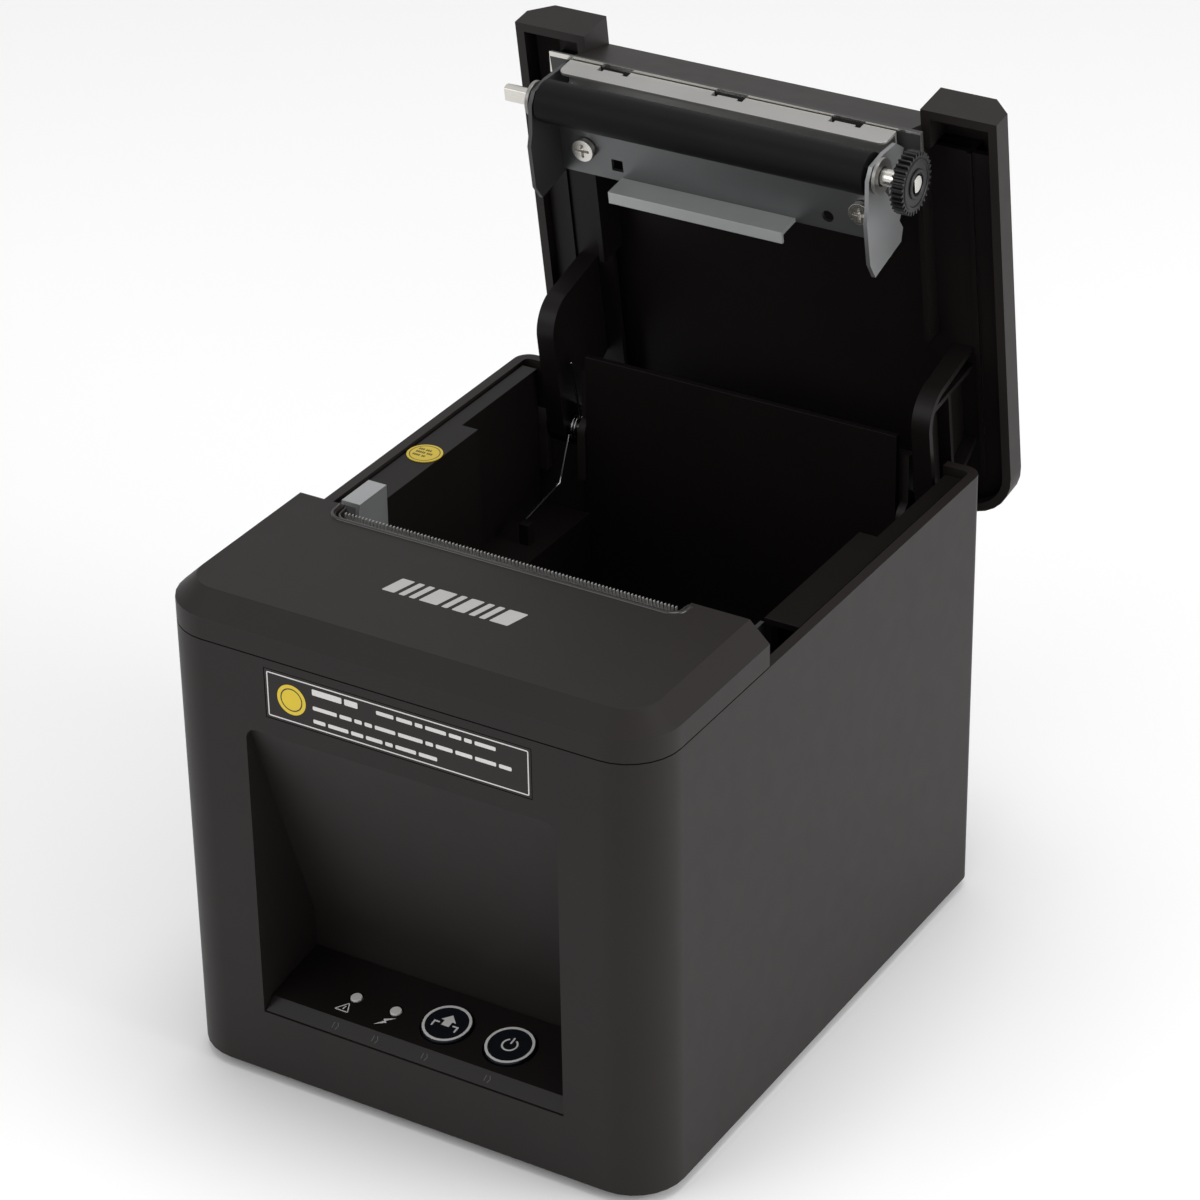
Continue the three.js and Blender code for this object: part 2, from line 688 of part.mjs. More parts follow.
// ---------------------------------------------------------------- paper bay
// Bay outline in the (y, z) plane, grown by an amount and open at the given height.
function bayOutline(grow, top) {
  const radius = BAY_RADIUS + grow;
  const shape = new THREE.Shape();
  shape.moveTo(BAY_AXIS_Y - radius, top);
  shape.lineTo(BAY_AXIS_Y - radius, BAY_AXIS_Z);
  shape.absarc(BAY_AXIS_Y, BAY_AXIS_Z, radius, Math.PI, 2 * Math.PI, false);
  shape.lineTo(BAY_AXIS_Y + radius, top);
  return shape;
}

function paperBay() {
  const front = BAY_AXIS_Y - BAY_RADIUS;
  const rear = BAY_AXIS_Y + BAY_RADIUS;
  const ledgeOut = HALF - HOUSING_WALL - 0.7;
  const above = BAY_REAR_TOP + 10;
  const armHalf = ARM_OUT + ARM_ROOM;
  const armFront = HINGE_Y - 38;
  const bucket = prismX(
    bayOutline(BAY_WALL, BAY_REAR_TOP),
    -BAY_HALF - BAY_WALL,
    BAY_HALF + BAY_WALL,
    14,
  );
  const upper = join(
    box(-BAY_UPPER_HALF - BAY_WALL, BAY_UPPER_HALF + BAY_WALL, POST_REAR + 1, rear,
      BAY_SHELF - BAY_WALL, LEDGE_TOP),
    box(-armHalf - BAY_WALL, armHalf + BAY_WALL, armFront - BAY_WALL, rear - 0.6,
      BAY_SHELF - BAY_WALL, LEDGE_TOP),
  );
  const ledges = join(
    box(-ledgeOut, -BAY_UPPER_HALF + 1, BAY_LEDGE_LEFT_Y, rear - 0.6, LEDGE_BOTTOM, LEDGE_TOP),
    box(BAY_UPPER_HALF - 1, ledgeOut, BAY_LEDGE_RIGHT_Y, rear - 0.6, LEDGE_BOTTOM, LEDGE_TOP),
  );
  const solidBay = join(bucket, upper, ledges);
  const lugRoom = [-1, 1].map((side) =>
    box(side * (LUG_IN - GAP), side * HALF, HINGE_Y - LUG_RADIUS - GAP, DEPTH + 2, HINGE_Z - 12.3, above),
  );
  const ledgeFoot = box(-BAY_UPPER_HALF - BAY_WALL, -BAY_UPPER_HALF, BAY_LEDGE_LEFT_Y, POST_REAR + 3,
    LEDGE_TOP - 14.5, LEDGE_TOP);
  const peg = box(-LUG_IN_END - 1.4, -LUG_IN_END - 4, HINGE_Y - 25, HINGE_Y - 22.4, BAY_SHELF - 0.5, PEG_TOP);
  const hollow = cut(
    join(solidBay, ledgeFoot),
    prismX(bayOutline(0, above), -BAY_HALF, BAY_HALF, 14),
    box(-BAY_UPPER_HALF, BAY_UPPER_HALF, front - 7, rear, BAY_SHELF, above),
    box(-armHalf, armHalf, armFront, rear + 5, BAY_SHELF, above).subtract(
      box(-BAY_HALF - BAY_WALL, BAY_HALF + BAY_WALL, rear, rear + 6, 0, above + 1),
    ),
    box(-BAY_UPPER_HALF, BAY_UPPER_HALF, front - 7, front + 1, BAY_FRONT_TOP, above),
    box(-HALF, HALF, rear - 6, rear + 6, LEDGE_TOP + 0.01, above).subtract(
      box(-BAY_HALF - BAY_WALL, BAY_HALF + BAY_WALL, rear - 7, rear + 7, 0, above + 1),
    ),
    ...lugRoom,
  );
  return join(hollow, peg);
}

// ---------------------------------------------------------------- mechanism
const POST_REAR = 71;
const POST_TOP = HOUSING_TOP + 4.9; // the left plate rises to a flange beside the exit
const RIGHT_POST_TOP = HOUSING_TOP - 3;
const PLATE_FRONT_TOP = BLADE_Z - 0.6;
const SEAT_REACH = Math.hypot(HINGE_Y - PLATEN_Y, HINGE_Z - PLATEN_Z);
const HEAD_PIVOT_Y = PLATEN_Y - PLATEN_RADIUS - 3.5;
const HEAD_PIVOT_Z = PLATEN_Z - 18.3;
const HEAD_PIVOT_RADIUS = 1.5;
const PIVOT_HALF = PLATE_IN + PLATE_SHEET + 0.3;
const STUD_RADIUS = 1.5;
const FRAME_FRONT = 36;
const FRAME_REAR = 64;
const FEED_MOTOR_RADIUS = 10.4;
const feedLean = THREE.MathUtils.degToRad(FEED_LEAN);
const cutterLean = THREE.MathUtils.degToRad(CUTTER_LEAN);

const DRIVE_AXIS = away(
  [PLATEN_Y, PLATEN_Z],
  meshDistance(FEED_MODULE, PLATEN_TEETH, DRIVE_TEETH),
  -Math.PI / 2,
);
const IDLER_AXIS = away(DRIVE_AXIS, meshDistance(FEED_MODULE, DRIVE_TEETH, IDLER_TEETH), feedLean);
const FEED_PINION_AXIS = away(
  IDLER_AXIS,
  meshDistance(FEED_MODULE, IDLER_TEETH, FEED_PINION_TEETH),
  feedLean,
);
const RESET_AXIS = [
  RESET_Y,
  RACK_PITCH_Z - pitchRadius(CUTTER_MODULE, RACK_PINION_TEETH) - MESH_SLACK,
];
const CUTTER_PINION_AXIS = away(
  RESET_AXIS,
  meshDistance(CUTTER_MODULE, RESET_TEETH, CUTTER_PINION_TEETH),
  cutterLean,
);

// The path of the platen shaft as the lid closes, down to its seat, as a slot through a plate.
function shaftSlot(x0, x1) {
  const wide = SHAFT_RADIUS + 0.4;
  const shape = new THREE.Shape();
  const seat = Math.atan2(PLATEN_Z - HINGE_Z, PLATEN_Y - HINGE_Y);
  const exit = seat - THREE.MathUtils.degToRad(24);
  shape.absarc(HINGE_Y, HINGE_Z, SEAT_REACH + wide, seat, exit, true);
  shape.absarc(HINGE_Y, HINGE_Z, SEAT_REACH - wide, exit, seat, false);
  return join(prismX(shape, x0, x1, 24), rodX(x0, x1, PLATEN_Y, PLATEN_Z, wide));
}

function sidePlate(side) {
  const x0 = side * PLATE_IN;
  const x1 = side * (PLATE_IN + PLATE_SHEET);
  const top = side < 0 ? POST_TOP : RIGHT_POST_TOP;
  const body = outline([
    [FRAME_FRONT, FRAME_BOTTOM],
    [FRAME_REAR, FRAME_BOTTOM],
    [FRAME_REAR, BAY_FRONT_TOP + 1],
    [POST_REAR, BAY_FRONT_TOP + 6],
    [POST_REAR, top],
    [52, top],
    [52, PLATE_FRONT_TOP],
    [side < 0 ? 8 : 30, PLATE_FRONT_TOP],
    [side < 0 ? 8 : 30, PLATEN_Z - 4.3],
    [FRAME_FRONT, PLATEN_Z - 10.3],
  ]);
  let plate = prismX(body, x0, x1);
  if (side < 0) {
    const flange = box(x0, side * (PLATE_IN + 4.9), 56, POST_REAR, POST_TOP - PLATE_SHEET, POST_TOP);
    const stud = rodX(x0, side * 58.2, ...RESET_AXIS, STUD_RADIUS);
    const motorHole = rodX(-60, -40, ...CUTTER_PINION_AXIS, 2.4);
    plate = cut(join(plate, flange, stud), motorHole);
  } else {
    const studs = [DRIVE_AXIS, IDLER_AXIS].map((axis) =>
      rodX(x0, GEAR_X + GEAR_WIDTH + 0.6, ...axis, STUD_RADIUS),
    );
    plate = cut(join(plate, ...studs), rodX(40, 60, ...FEED_PINION_AXIS, 1.8));
  }
  return cut(
    plate,
    shaftSlot(side * 40, side * 60),
    cut(
      box(-HALF, HALF, 40, 60, PLATE_FRONT_TOP + 0.01, POST_TOP + 1),
      rodX(-HALF, HALF, HINGE_Y, HINGE_Z, SEAT_REACH - SHAFT_RADIUS - 0.4, 160),
    ),
    rodX(side * 40, side * 60, HEAD_PIVOT_Y, HEAD_PIVOT_Z, HEAD_PIVOT_RADIUS + GAP),
  );
}

function mechanismFrame() {
  const half = PLATE_IN - GAP;
  const front = box(-half, half, FRAME_FRONT, FRAME_FRONT + 1.2, FRAME_BOTTOM, PLATEN_Z + 7.7);
  const floor = box(-half, half, FRAME_FRONT, FRAME_REAR - 1, FRAME_BOTTOM, FRAME_BOTTOM + 1.2);
  return join(front, floor);
}

const GLASS_REAR = PLATEN_Y - PLATEN_RADIUS - GAP; // the closed lid's platen lies against it
const GLASS_THICK = 0.9;
const GLASS_BOTTOM = PLATEN_Z - 6.3;
const HEAD_REAR = GLASS_REAR - GLASS_THICK - GAP;
const HEAD_FRONT = HEAD_REAR - 3.6;
const HEAD_TOP = PLATEN_Z + 5.7;
const HEAD_HALF = 42;

function headPlate() {
  const sink = box(-HEAD_HALF, HEAD_HALF, HEAD_FRONT, HEAD_REAR, HEAD_PIVOT_Z - 4, HEAD_TOP);
  const ears = [-1, 1].map((side) =>
    rodX(side * 36, side * HEAD_HALF, HEAD_PIVOT_Y, HEAD_PIVOT_Z, 3.4),
  );
  const bores = rodX(-50, 50, HEAD_PIVOT_Y, HEAD_PIVOT_Z, HEAD_PIVOT_RADIUS + GAP);
  const fins = [4, 8, 12].map((up) =>
    box(-30, 30, HEAD_FRONT - 1, HEAD_FRONT + 1.1, HEAD_PIVOT_Z + up, HEAD_PIVOT_Z + up + 1.6),
  );
  return cut(join(sink, ...ears), bores, ...fins);
}

const headGlass = () =>
  box(-HEAD_HALF, HEAD_HALF, GLASS_REAR - GLASS_THICK, GLASS_REAR, GLASS_BOTTOM, HEAD_TOP);

class HeadCoil extends THREE.Curve {
  constructor(x, z, y0, y1, radius, turns) {
    super();
    Object.assign(this, { x, z, y0, y1, radius, turns });
  }
  getPoint(t) {
    const angle = 2 * Math.PI * this.turns * t;
    return new THREE.Vector3(
      this.x + this.radius * Math.cos(angle),
      THREE.MathUtils.lerp(this.y0, this.y1, t),
      this.z + this.radius * Math.sin(angle),
    );
  }
}

const headPivot = () =>
  rodX(-PIVOT_HALF, PIVOT_HALF, HEAD_PIVOT_Y, HEAD_PIVOT_Z, HEAD_PIVOT_RADIUS);

const headSpring = (side) =>
  wire(new HeadCoil(side * 22, PLATEN_Z - 1.3, FRAME_FRONT + 2.1, HEAD_FRONT - 0.9, 2.3, 5), 0.35, 50, 5);

// ---------------------------------------------------------------- paper feed
const FEED_PHASE = Math.PI / 2; // a tooth of the drive gear points up at the platen gear
const idlerPhase = meshedPhase(FEED_PHASE, DRIVE_TEETH, IDLER_TEETH, feedLean);
const feedPinionPhase = meshedPhase(idlerPhase, IDLER_TEETH, FEED_PINION_TEETH, feedLean);
const platenPhase = meshedPhase(FEED_PHASE, DRIVE_TEETH, PLATEN_TEETH, Math.PI / 2);

function feedGear(teeth, phase, axis, bore) {
  const wheel = gear(FEED_MODULE, teeth, phase, ...axis, GEAR_X, GEAR_X + GEAR_WIDTH);
  return cut(wheel, rodX(GEAR_X - 1, GEAR_X + 5, ...axis, bore));
}

function feedMotor() {
  const face = PLATE_IN - GAP;
  return join(
    rodX(face - 16, face, ...FEED_PINION_AXIS, FEED_MOTOR_RADIUS, 36),
    rodX(face - 18, face - 15, ...FEED_PINION_AXIS, 4),
    rodX(face - 1, face + 1.2, ...FEED_PINION_AXIS, 1.5),
  );
}

function feedPinion() {
  const wheel = gear(
    FEED_MODULE,
    FEED_PINION_TEETH,
    feedPinionPhase,
    ...FEED_PINION_AXIS,
    GEAR_X,
    GEAR_X + GEAR_WIDTH,
  );
  return join(wheel, rodX(PLATE_IN + PLATE_SHEET + 0.6, GEAR_X + 0.5, ...FEED_PINION_AXIS, 1.2, 12));
}

// ---------------------------------------------------------------- cutter
const BLADE_LOW = BLADE_Z + BLADE_THICK + GAP; // moving blade runs just above the fixed one
const BLADE_HALF = 44.6;
const RACK_OUT = -53.6;
const RACK_IN = -50.4;

function cutterFrame() {
  const low = BLADE_LOW - GAP - 1.2;
  const half = PLATE_IN - 0.8;
  const tray = box(-half, half, 14, 47.6, low, low + 1.2);
  const front = box(-half, half, 14, 15.2, low, low + 5);
  const rail = box(BLADE_HALF + GAP, half, 14, 47.6, low, low + 3.9);
  const retainer = box(40, half, 18, 46, low + 2.9 + GAP, low + 3.9);
  const leftRail = box(-half, -BLADE_HALF - GAP, 44.6, 47.6, low, low + 3.9);
  const leftKeep = box(-half, -40, 44.6, 46.6, low + 2.9 + GAP, low + 3.9);
  const slots = [-24, 0, 24].map((x) => box(x - 7, x + 7, 22, 36, low - 1, low + 2));
  return cut(join(tray, front, rail, retainer, leftRail, leftKeep), ...slots);
}

function movingBlade() {
  const high = BLADE_LOW + 0.8;
  const edge = LID_FRONT - 0.6;
  const plate = prismZ(
    outline([
      [-BLADE_HALF, 22],
      [BLADE_HALF, 22],
      [BLADE_HALF, edge - 3],
      [BLADE_HALF - 3, edge],
      [0, edge - 3.4],
      [-BLADE_HALF + 3, edge],
      [-BLADE_HALF, edge - 3],
    ]),
    BLADE_LOW,
    high,
  );
  const arm = box(RACK_OUT, -BLADE_HALF + 1, 23, 31, BLADE_LOW, high);
  return join(plate, arm, rack(BLADE_LOW + 0.2));
}

// Toothed strip under the blade's arm, with a gap over the reset gear's axis.
function rack(top) {
  const pitch = Math.PI * CUTTER_MODULE;
  const root = RACK_PITCH_Z + 1.1 * CUTTER_MODULE;
  const tip = RACK_PITCH_Z - 0.85 * CUTTER_MODULE;
  const teeth = 12;
  const first = RESET_Y - (teeth / 2 + 2) * pitch;
  const points = [
    [first + teeth * pitch, top],
    [first, top],
  ];
  for (let tooth = 0; tooth < teeth; tooth++) {
    const middle = first + (tooth + 0.5) * pitch;
    for (const [z, share] of [[root, -0.3], [tip, -0.12], [tip, 0.12], [root, 0.3]]) {
      points.push([middle + share * pitch, z]);
    }
  }
  points.splice(2, 0, [first, root]);
  points.push([first + teeth * pitch, root]);
  return prismX(outline(points), RACK_OUT, RACK_IN);
}

const BIG_GEAR_OUT = -57.7;
const BIG_GEAR_IN = -54.9;
const resetPhase = Math.PI / 2; // a tooth points up into the rack's gap
const cutterPinionPhase = meshedPhase(resetPhase, RESET_TEETH, CUTTER_PINION_TEETH, cutterLean);

function resetGear() {
  const wheel = gear(CUTTER_MODULE, RESET_TEETH, resetPhase, ...RESET_AXIS, BIG_GEAR_OUT, BIG_GEAR_IN);
  const small = gear(
    CUTTER_MODULE,
    RACK_PINION_TEETH,
    resetPhase,
    ...RESET_AXIS,
    BIG_GEAR_IN - 0.2,
    -50,
  );
  return cut(join(wheel, small), rodX(-60, -49, ...RESET_AXIS, STUD_RADIUS + GAP));
}

function cutterPinion() {
  const wheel = gear(
    CUTTER_MODULE,
    CUTTER_PINION_TEETH,
    cutterPinionPhase,
    ...CUTTER_PINION_AXIS,
    BIG_GEAR_OUT + 0.2,
    BIG_GEAR_IN - 0.2,
  );
  return join(wheel, rodX(-PLATE_IN - PLATE_SHEET - 0.6, BIG_GEAR_IN - 0.5, ...CUTTER_PINION_AXIS, 1, 12));
}

function cutterMotor() {
  const face = -PLATE_IN + GAP;
  return join(
    rodX(face, face + 24, ...CUTTER_PINION_AXIS, 7.2, 28),
    rodX(face + 23, face + 25.5, ...CUTTER_PINION_AXIS, 3),
    rodX(face - 1.3, face + 1, ...CUTTER_PINION_AXIS, 2),
  );
}

// ---------------------------------------------------------------- electronics
function mainBoard() {
  const front = BOARD_REAR - BOARD_DEPTH;
  const board = box(-BOARD_HALF, BOARD_HALF, front, BOARD_REAR, BOARD_TOP - 1.6, BOARD_TOP);
  const capacitor = rodZ(BOARD_TOP - 0.5, BOARD_TOP + 6, -44, front + 12, 4);
  const chip = box(-12, 6, front + 32, front + 50, BOARD_TOP - 0.5, BOARD_TOP + 1.4);
  const driver = box(24, 34, front + 8, front + 18, BOARD_TOP - 0.5, BOARD_TOP + 1.6);
  return join(board, capacitor, chip, driver);
}

function port({ x, wide, high, deep, hole }) {
  const low = BOARD_TOP + GAP;
  const rear = DEPTH - PORT_FLUSH;
  const body = box(x - wide / 2, x + wide / 2, rear - deep, rear, low, low + high);
  const middle = low + high / 2;
  const socket = box(
    x - hole[0] / 2,
    x + hole[0] / 2,
    rear - deep + 3,
    rear + 1,
    middle - hole[1] / 2,
    middle + hole[1] / 2,
  );
  return cut(body, socket);
}

// ---------------------------------------------------------------- hinge
const hingePin = (side) =>
  rodX(side * (LUG_IN - 0.4), side * (LUG_OUT_END + 0.3), HINGE_Y, HINGE_Z, HINGE_PIN_RADIUS, 20);

const SPRING_WIRE = 0.35;
const SPRING_RADIUS = 3.1;
const SPRING_TURNS = 2.75;
const SPRING_START = -160; // where the lower leg meets the coils, in degrees
const SPRING_X = -(LUG_IN_END + ARM_IN) / 2;
const SPRING_HALF = (ARM_IN - LUG_IN_END) / 2 - SPRING_WIRE - GAP;

// Torsion spring: a bent leg on the bay's peg, coils round the hinge pin, a leg up the lid's arm.
class SpringLine extends THREE.Curve {
  getPoint(t) {
    const legShare = 0.22;
    const foot = new THREE.Vector3(SPRING_X - SPRING_HALF, HINGE_Y - 23.5, PEG_TOP + SPRING_WIRE + GAP);
    const knee = new THREE.Vector3(SPRING_X - SPRING_HALF, HINGE_Y - 7.7, HINGE_Z - 12.2);
    const top = new THREE.Vector3(SPRING_X + SPRING_HALF, HINGE_Y - 5, HINGE_Z + 20);
    if (t < legShare / 2) return foot.lerp(knee, (2 * t) / legShare);
    if (t < legShare) return knee.lerp(this.coil(0), (2 * t) / legShare - 1);
    if (t > 1 - legShare) return this.coil(1).lerp(top, (t - 1 + legShare) / legShare);
    return this.coil((t - legShare) / (1 - 2 * legShare));
  }
  coil(share) {
    const start = THREE.MathUtils.degToRad(SPRING_START);
    const angle = start + 2 * Math.PI * SPRING_TURNS * share;
    return new THREE.Vector3(
      SPRING_X + SPRING_HALF * (2 * share - 1),
      HINGE_Y + SPRING_RADIUS * Math.cos(angle),
      HINGE_Z + SPRING_RADIUS * Math.sin(angle),
    );
  }
}

const lidSpring = () => wire(new SpringLine(), SPRING_WIRE, 76, 6);

// ---------------------------------------------------------------- lid (drawn closed)
const LID_NOTCH_HALF = 43.6;
const LID_NOTCH_DEPTH = 7.4;
const LID_INSIDE = COVER_TOP - COVER_WALL;
const INNER_TOP = LID_INSIDE - GAP;
const INNER_SHEET = 1.4;
const INNER_HALF = WIDTH / 2 - 7.5;
const INNER_REAR = LID_REAR - 10;
const FLOOR_LOW = INNER_TOP - 5.4;
const FLOOR_IN = 43.5; // clears the rear wall of the bay
const GUIDE_BOTTOM = BLADE_LOW + 0.8 + GAP + 0.2; // sloped paper guide ends above the moving blade
const BLADE_CARRIER_FRONT = LID_FRONT + LID_NOTCH_DEPTH + COVER_WALL + GAP;
const BRACKET_SCREW_X = 36.1;
const BRACKET_SCREW_Y = 69.9;
const BRACKET_FACE = PLATEN_Z + 5.8; // lower face of the bracket's base
const BRACKET_SHEET = 1;

function lidOuter() {
  const outer = loft([
    { points: lidRing(0, 0), z: COVER_BOTTOM },
    { points: lidRing(0, 0), z: BAND_TOP },
    { points: lidRing(COVER_CHAMFER, 0), z: COVER_TOP },
  ]);
  const hollow = loft([
    { points: lidRing(COVER_WALL, COVER_WALL), z: COVER_BOTTOM - 1 },
    { points: lidRing(COVER_WALL, COVER_WALL), z: BAND_TOP - 0.6 },
    { points: lidRing(COVER_WALL + COVER_CHAMFER - 0.6, COVER_WALL), z: LID_INSIDE },
  ]);
  const wall = LID_NOTCH_HALF + COVER_WALL;
  const depth = LID_FRONT + LID_NOTCH_DEPTH;
  const cheeks = cut(
    box(-wall, wall, LID_FRONT, depth + COVER_WALL, COVER_BOTTOM, COVER_TOP),
    box(-LID_NOTCH_HALF, LID_NOTCH_HALF, LID_FRONT - 1, depth + 5, COVER_BOTTOM - 1, COVER_TOP + 1),
  );
  const guide = prismX(
    outline([
      [LID_FRONT + 2, GUIDE_BOTTOM],
      [LID_FRONT + 4.2, GUIDE_BOTTOM],
      [depth + COVER_WALL, LID_INSIDE],
      [depth + COVER_WALL, COVER_TOP],
      [depth, COVER_TOP],
    ]),
    -LID_NOTCH_HALF - 0.1,
    LID_NOTCH_HALF + 0.1,
  );
  const notch = prismX(
    outline([
      [LID_FRONT - 1, GUIDE_BOTTOM - 1],
      [LID_FRONT + 1.7, GUIDE_BOTTOM - 1],
      [depth, COVER_TOP],
      [depth, COVER_TOP + 1],
      [LID_FRONT - 1, COVER_TOP + 1],
    ]),
    -LID_NOTCH_HALF,
    LID_NOTCH_HALF,
  );
  return join(cut(join(cut(outer, hollow), cheeks), notch), guide);
}

// Side view of a hinge arm: from the lid's ceiling down, round its elbow and back to the knuckle.
function armShape(inset) {
  const shape = new THREE.Shape();
  const elbow = HINGE_Z + 5;
  shape.moveTo(HINGE_Y - 38.5 + inset, INNER_TOP - 0.5);
  shape.lineTo(HINGE_Y - 36 + inset, elbow);
  shape.absarc(HINGE_Y - 27, elbow, 9 - inset, Math.PI, 1.5 * Math.PI, false);
  shape.lineTo(HINGE_Y, HINGE_Z - KNUCKLE_RADIUS + inset);
  shape.absarc(HINGE_Y, HINGE_Z, KNUCKLE_RADIUS - inset, -Math.PI / 2, Math.PI / 2, false);
  shape.lineTo(HINGE_Y - 7 - inset, HINGE_Z + 11);
  shape.lineTo(HINGE_Y - 13 - inset, INNER_TOP - 0.5);
  return shape;
}

function hingeArm(side) {
  const web = prismX(armShape(0), side * ARM_IN, side * (ARM_IN + ARM_SHEET));
  const rim = cut(
    prismX(armShape(0), side * ARM_IN, side * ARM_OUT),
    prismX(armShape(ARM_SHEET), side * (ARM_IN - 1), side * (ARM_OUT + 1)),
  );
  const knuckle = rodX(side * ARM_IN, side * ARM_OUT, HINGE_Y, HINGE_Z, KNUCKLE_RADIUS);
  const upright = HINGE_Y - 33;
  const stay = box(side * ARM_IN, side * ARM_OUT, upright, upright + 1.2, HINGE_Z - 1, INNER_TOP - 0.6);
  const tie = box(side * ARM_IN, side * ARM_OUT, upright, HINGE_Y - 7, HINGE_Z + 6, HINGE_Z + 7.2);
  const bore = rodX(side * 40, side * HALF, HINGE_Y, HINGE_Z, HINGE_PIN_RADIUS + GAP);
  return cut(join(web, rim, knuckle, stay, tie), bore);
}

// Flat floor of the lid on either side of the paper's width, flush with its rim.
function lidSideFloor() {
  const inset = COVER_WALL + GAP;
  const floor = block(lidRing(inset, LID_NOTCH_DEPTH + inset), FLOOR_LOW, FLOOR_LOW + INNER_SHEET);
  return cut(
    floor,
    box(-FLOOR_IN, FLOOR_IN, 0, LID_REAR, FLOOR_LOW - 1, FLOOR_LOW + 3),
    box(-HALF, 0, 0, POST_REAR + 1, FLOOR_LOW - 1, FLOOR_LOW + 3),
  );
}

function lidInner() {
  const low = INNER_TOP - INNER_SHEET;
  const panel = box(-INNER_HALF, INNER_HALF, BLADE_CARRIER_FRONT, INNER_REAR, low, INNER_TOP);
  const skirt = cut(
    box(-INNER_HALF, INNER_HALF, BLADE_CARRIER_FRONT, INNER_REAR, low - 4.7, low + 0.5),
    box(-INNER_HALF + 1.2, INNER_HALF - 1.2, BLADE_CARRIER_FRONT - 1, INNER_REAR + 1, low - 6, low + 1),
  );
  const carrier = box(-42, 42, BLADE_CARRIER_FRONT, 66, BLADE_Z + BLADE_THICK + GAP, low + 0.5);
  const carrierHollow = box(-40, 40, BLADE_CARRIER_FRONT + 1.6, 67, BLADE_Z + BLADE_THICK + 2, low);
  let shell = join(panel, skirt, lidSideFloor(), cut(carrier, carrierHollow));
  for (const side of [-1, 1]) {
    const boss = rodZ(BRACKET_FACE + BRACKET_SHEET + GAP, low + 0.5, side * BRACKET_SCREW_X,
      BRACKET_SCREW_Y, 3.5);
    const rib = box(side * 43, side * 44.3, BLADE_CARRIER_FRONT, INNER_REAR - 38, low - 8.7, low + 0.5);
    shell = join(shell, boss, rib, hingeArm(side));
    shell = cut(shell, rodZ(BLADE_Z - 15, low - 2, side * BRACKET_SCREW_X, BRACKET_SCREW_Y, 1.5, 16));
  }
  return shell;
}

// ---------------------------------------------------------------- platen unit (drawn closed)
// Side view of a steel ear, measured from the lid's front edge and its rim.
const LEFT_EAR = [
  [1.2, -17.7],
  [1.6, -23.2],
  [4.2, -25.2],
  [11, -26.2],
  [14, -27.4],
  [25, -27.2],
  [29, -24.9],
  [27.5, -14],
  [20.6, -13.6],
  [8, -11.4],
  [6.6, -8.7],
  [2, -8.7],
];
const RIGHT_EAR = [
  [1.2, -17.7],
  [1.6, -23.2],
  [4.2, -25.2],
  [11, -26.2],
  [13.9, -27.2],
  [24.9, -26.9],
  [29.3, -24.9],
  [27.3, -12.2],
  [24.3, -11],
  [21.7, -12.4],
  [20.4, -11.5],
  [10.6, -18.2],
  [7.6, -15.6],
  [6.9, -10],
  [4.9, -8.5],
  [1.8, -12],
];

function platenBracket() {
  const ears = [-1, 1].map((side) => {
    const ear = side < 0 ? LEFT_EAR : RIGHT_EAR;
    const points = ear.map(([back, up]) => [LID_FRONT + back, HOUSING_TOP + up]);
    return prismX(outline(points), side * EAR_IN, side * (EAR_IN + EAR_SHEET));
  });
  const base = box(-EAR_IN - 0.2, EAR_IN + 0.2, 61.6, 77, BRACKET_FACE, BRACKET_FACE + BRACKET_SHEET);
  const lip = box(-27, 18.5, 76, 77, BRACKET_FACE - 6, BRACKET_FACE + 0.5);
  const curl = box(-27, 18.5, 76, 79, BRACKET_FACE - 6.6, BRACKET_FACE - 5.8);
  const holes = [-1, 1].flatMap((side) => [
    rodZ(BRACKET_FACE - 8, BLADE_Z, side * BRACKET_SCREW_X, BRACKET_SCREW_Y, 1.7, 16),
    rodX(side * 40, side * 46, PLATEN_Y, PLATEN_Z, SHAFT_RADIUS + 1.2 + GAP),
  ]);
  const square = box(-29.5, -26.5, 71.5, 74.5, BRACKET_FACE - 8, BLADE_Z);
  const round = rodZ(BRACKET_FACE - 8, BLADE_Z, 27, 73.5, 1.5, 16);
  return cut(join(base, lip, curl, ...ears), ...holes, square, round);
}

function platenShaft() {
  const bar = rodX(SHAFT_LEFT, SHAFT_RIGHT, PLATEN_Y, PLATEN_Z, SHAFT_RADIUS);
  const flat = SHAFT_RADIUS - 0.8;
  return cut(
    bar,
    box(SHAFT_LEFT - 1, -46, PLATEN_Y - 3, PLATEN_Y + 3, PLATEN_Z - 3, PLATEN_Z - flat),
    box(GEAR_X - 1.5, SHAFT_RIGHT + 1, PLATEN_Y - 3, PLATEN_Y + 3, PLATEN_Z - 3, PLATEN_Z - flat),
  );
}

const platenRoller = () =>
  cut(
    rodX(-PLATEN_HALF, PLATEN_HALF, PLATEN_Y, PLATEN_Z, PLATEN_RADIUS, 40),
    rodX(-PLATEN_HALF - 1, PLATEN_HALF + 1, PLATEN_Y, PLATEN_Z, SHAFT_RADIUS + GAP),
  );

const platenBush = (side) =>
  cut(
    join(
      rodX(side * (EAR_IN - 0.3), side * (EAR_IN + 2.2), PLATEN_Y, PLATEN_Z, SHAFT_RADIUS + 1.2),
      rodX(side * (EAR_IN + 1.3), side * (EAR_IN + 2.2), PLATEN_Y, PLATEN_Z, SHAFT_RADIUS + 2.2),
    ),
    rodX(side * 40, side * 50, PLATEN_Y, PLATEN_Z, SHAFT_RADIUS + GAP),
  );

const platenGear = () =>
  feedGear(PLATEN_TEETH, platenPhase, [PLATEN_Y, PLATEN_Z], SHAFT_RADIUS + GAP);

const FLANGE_FRONT = LID_FRONT + 1;
const FLANGE_SHEET = 0.8;
const FLANGE_DROP = 6;
const FLANGE_CORNER = 2;

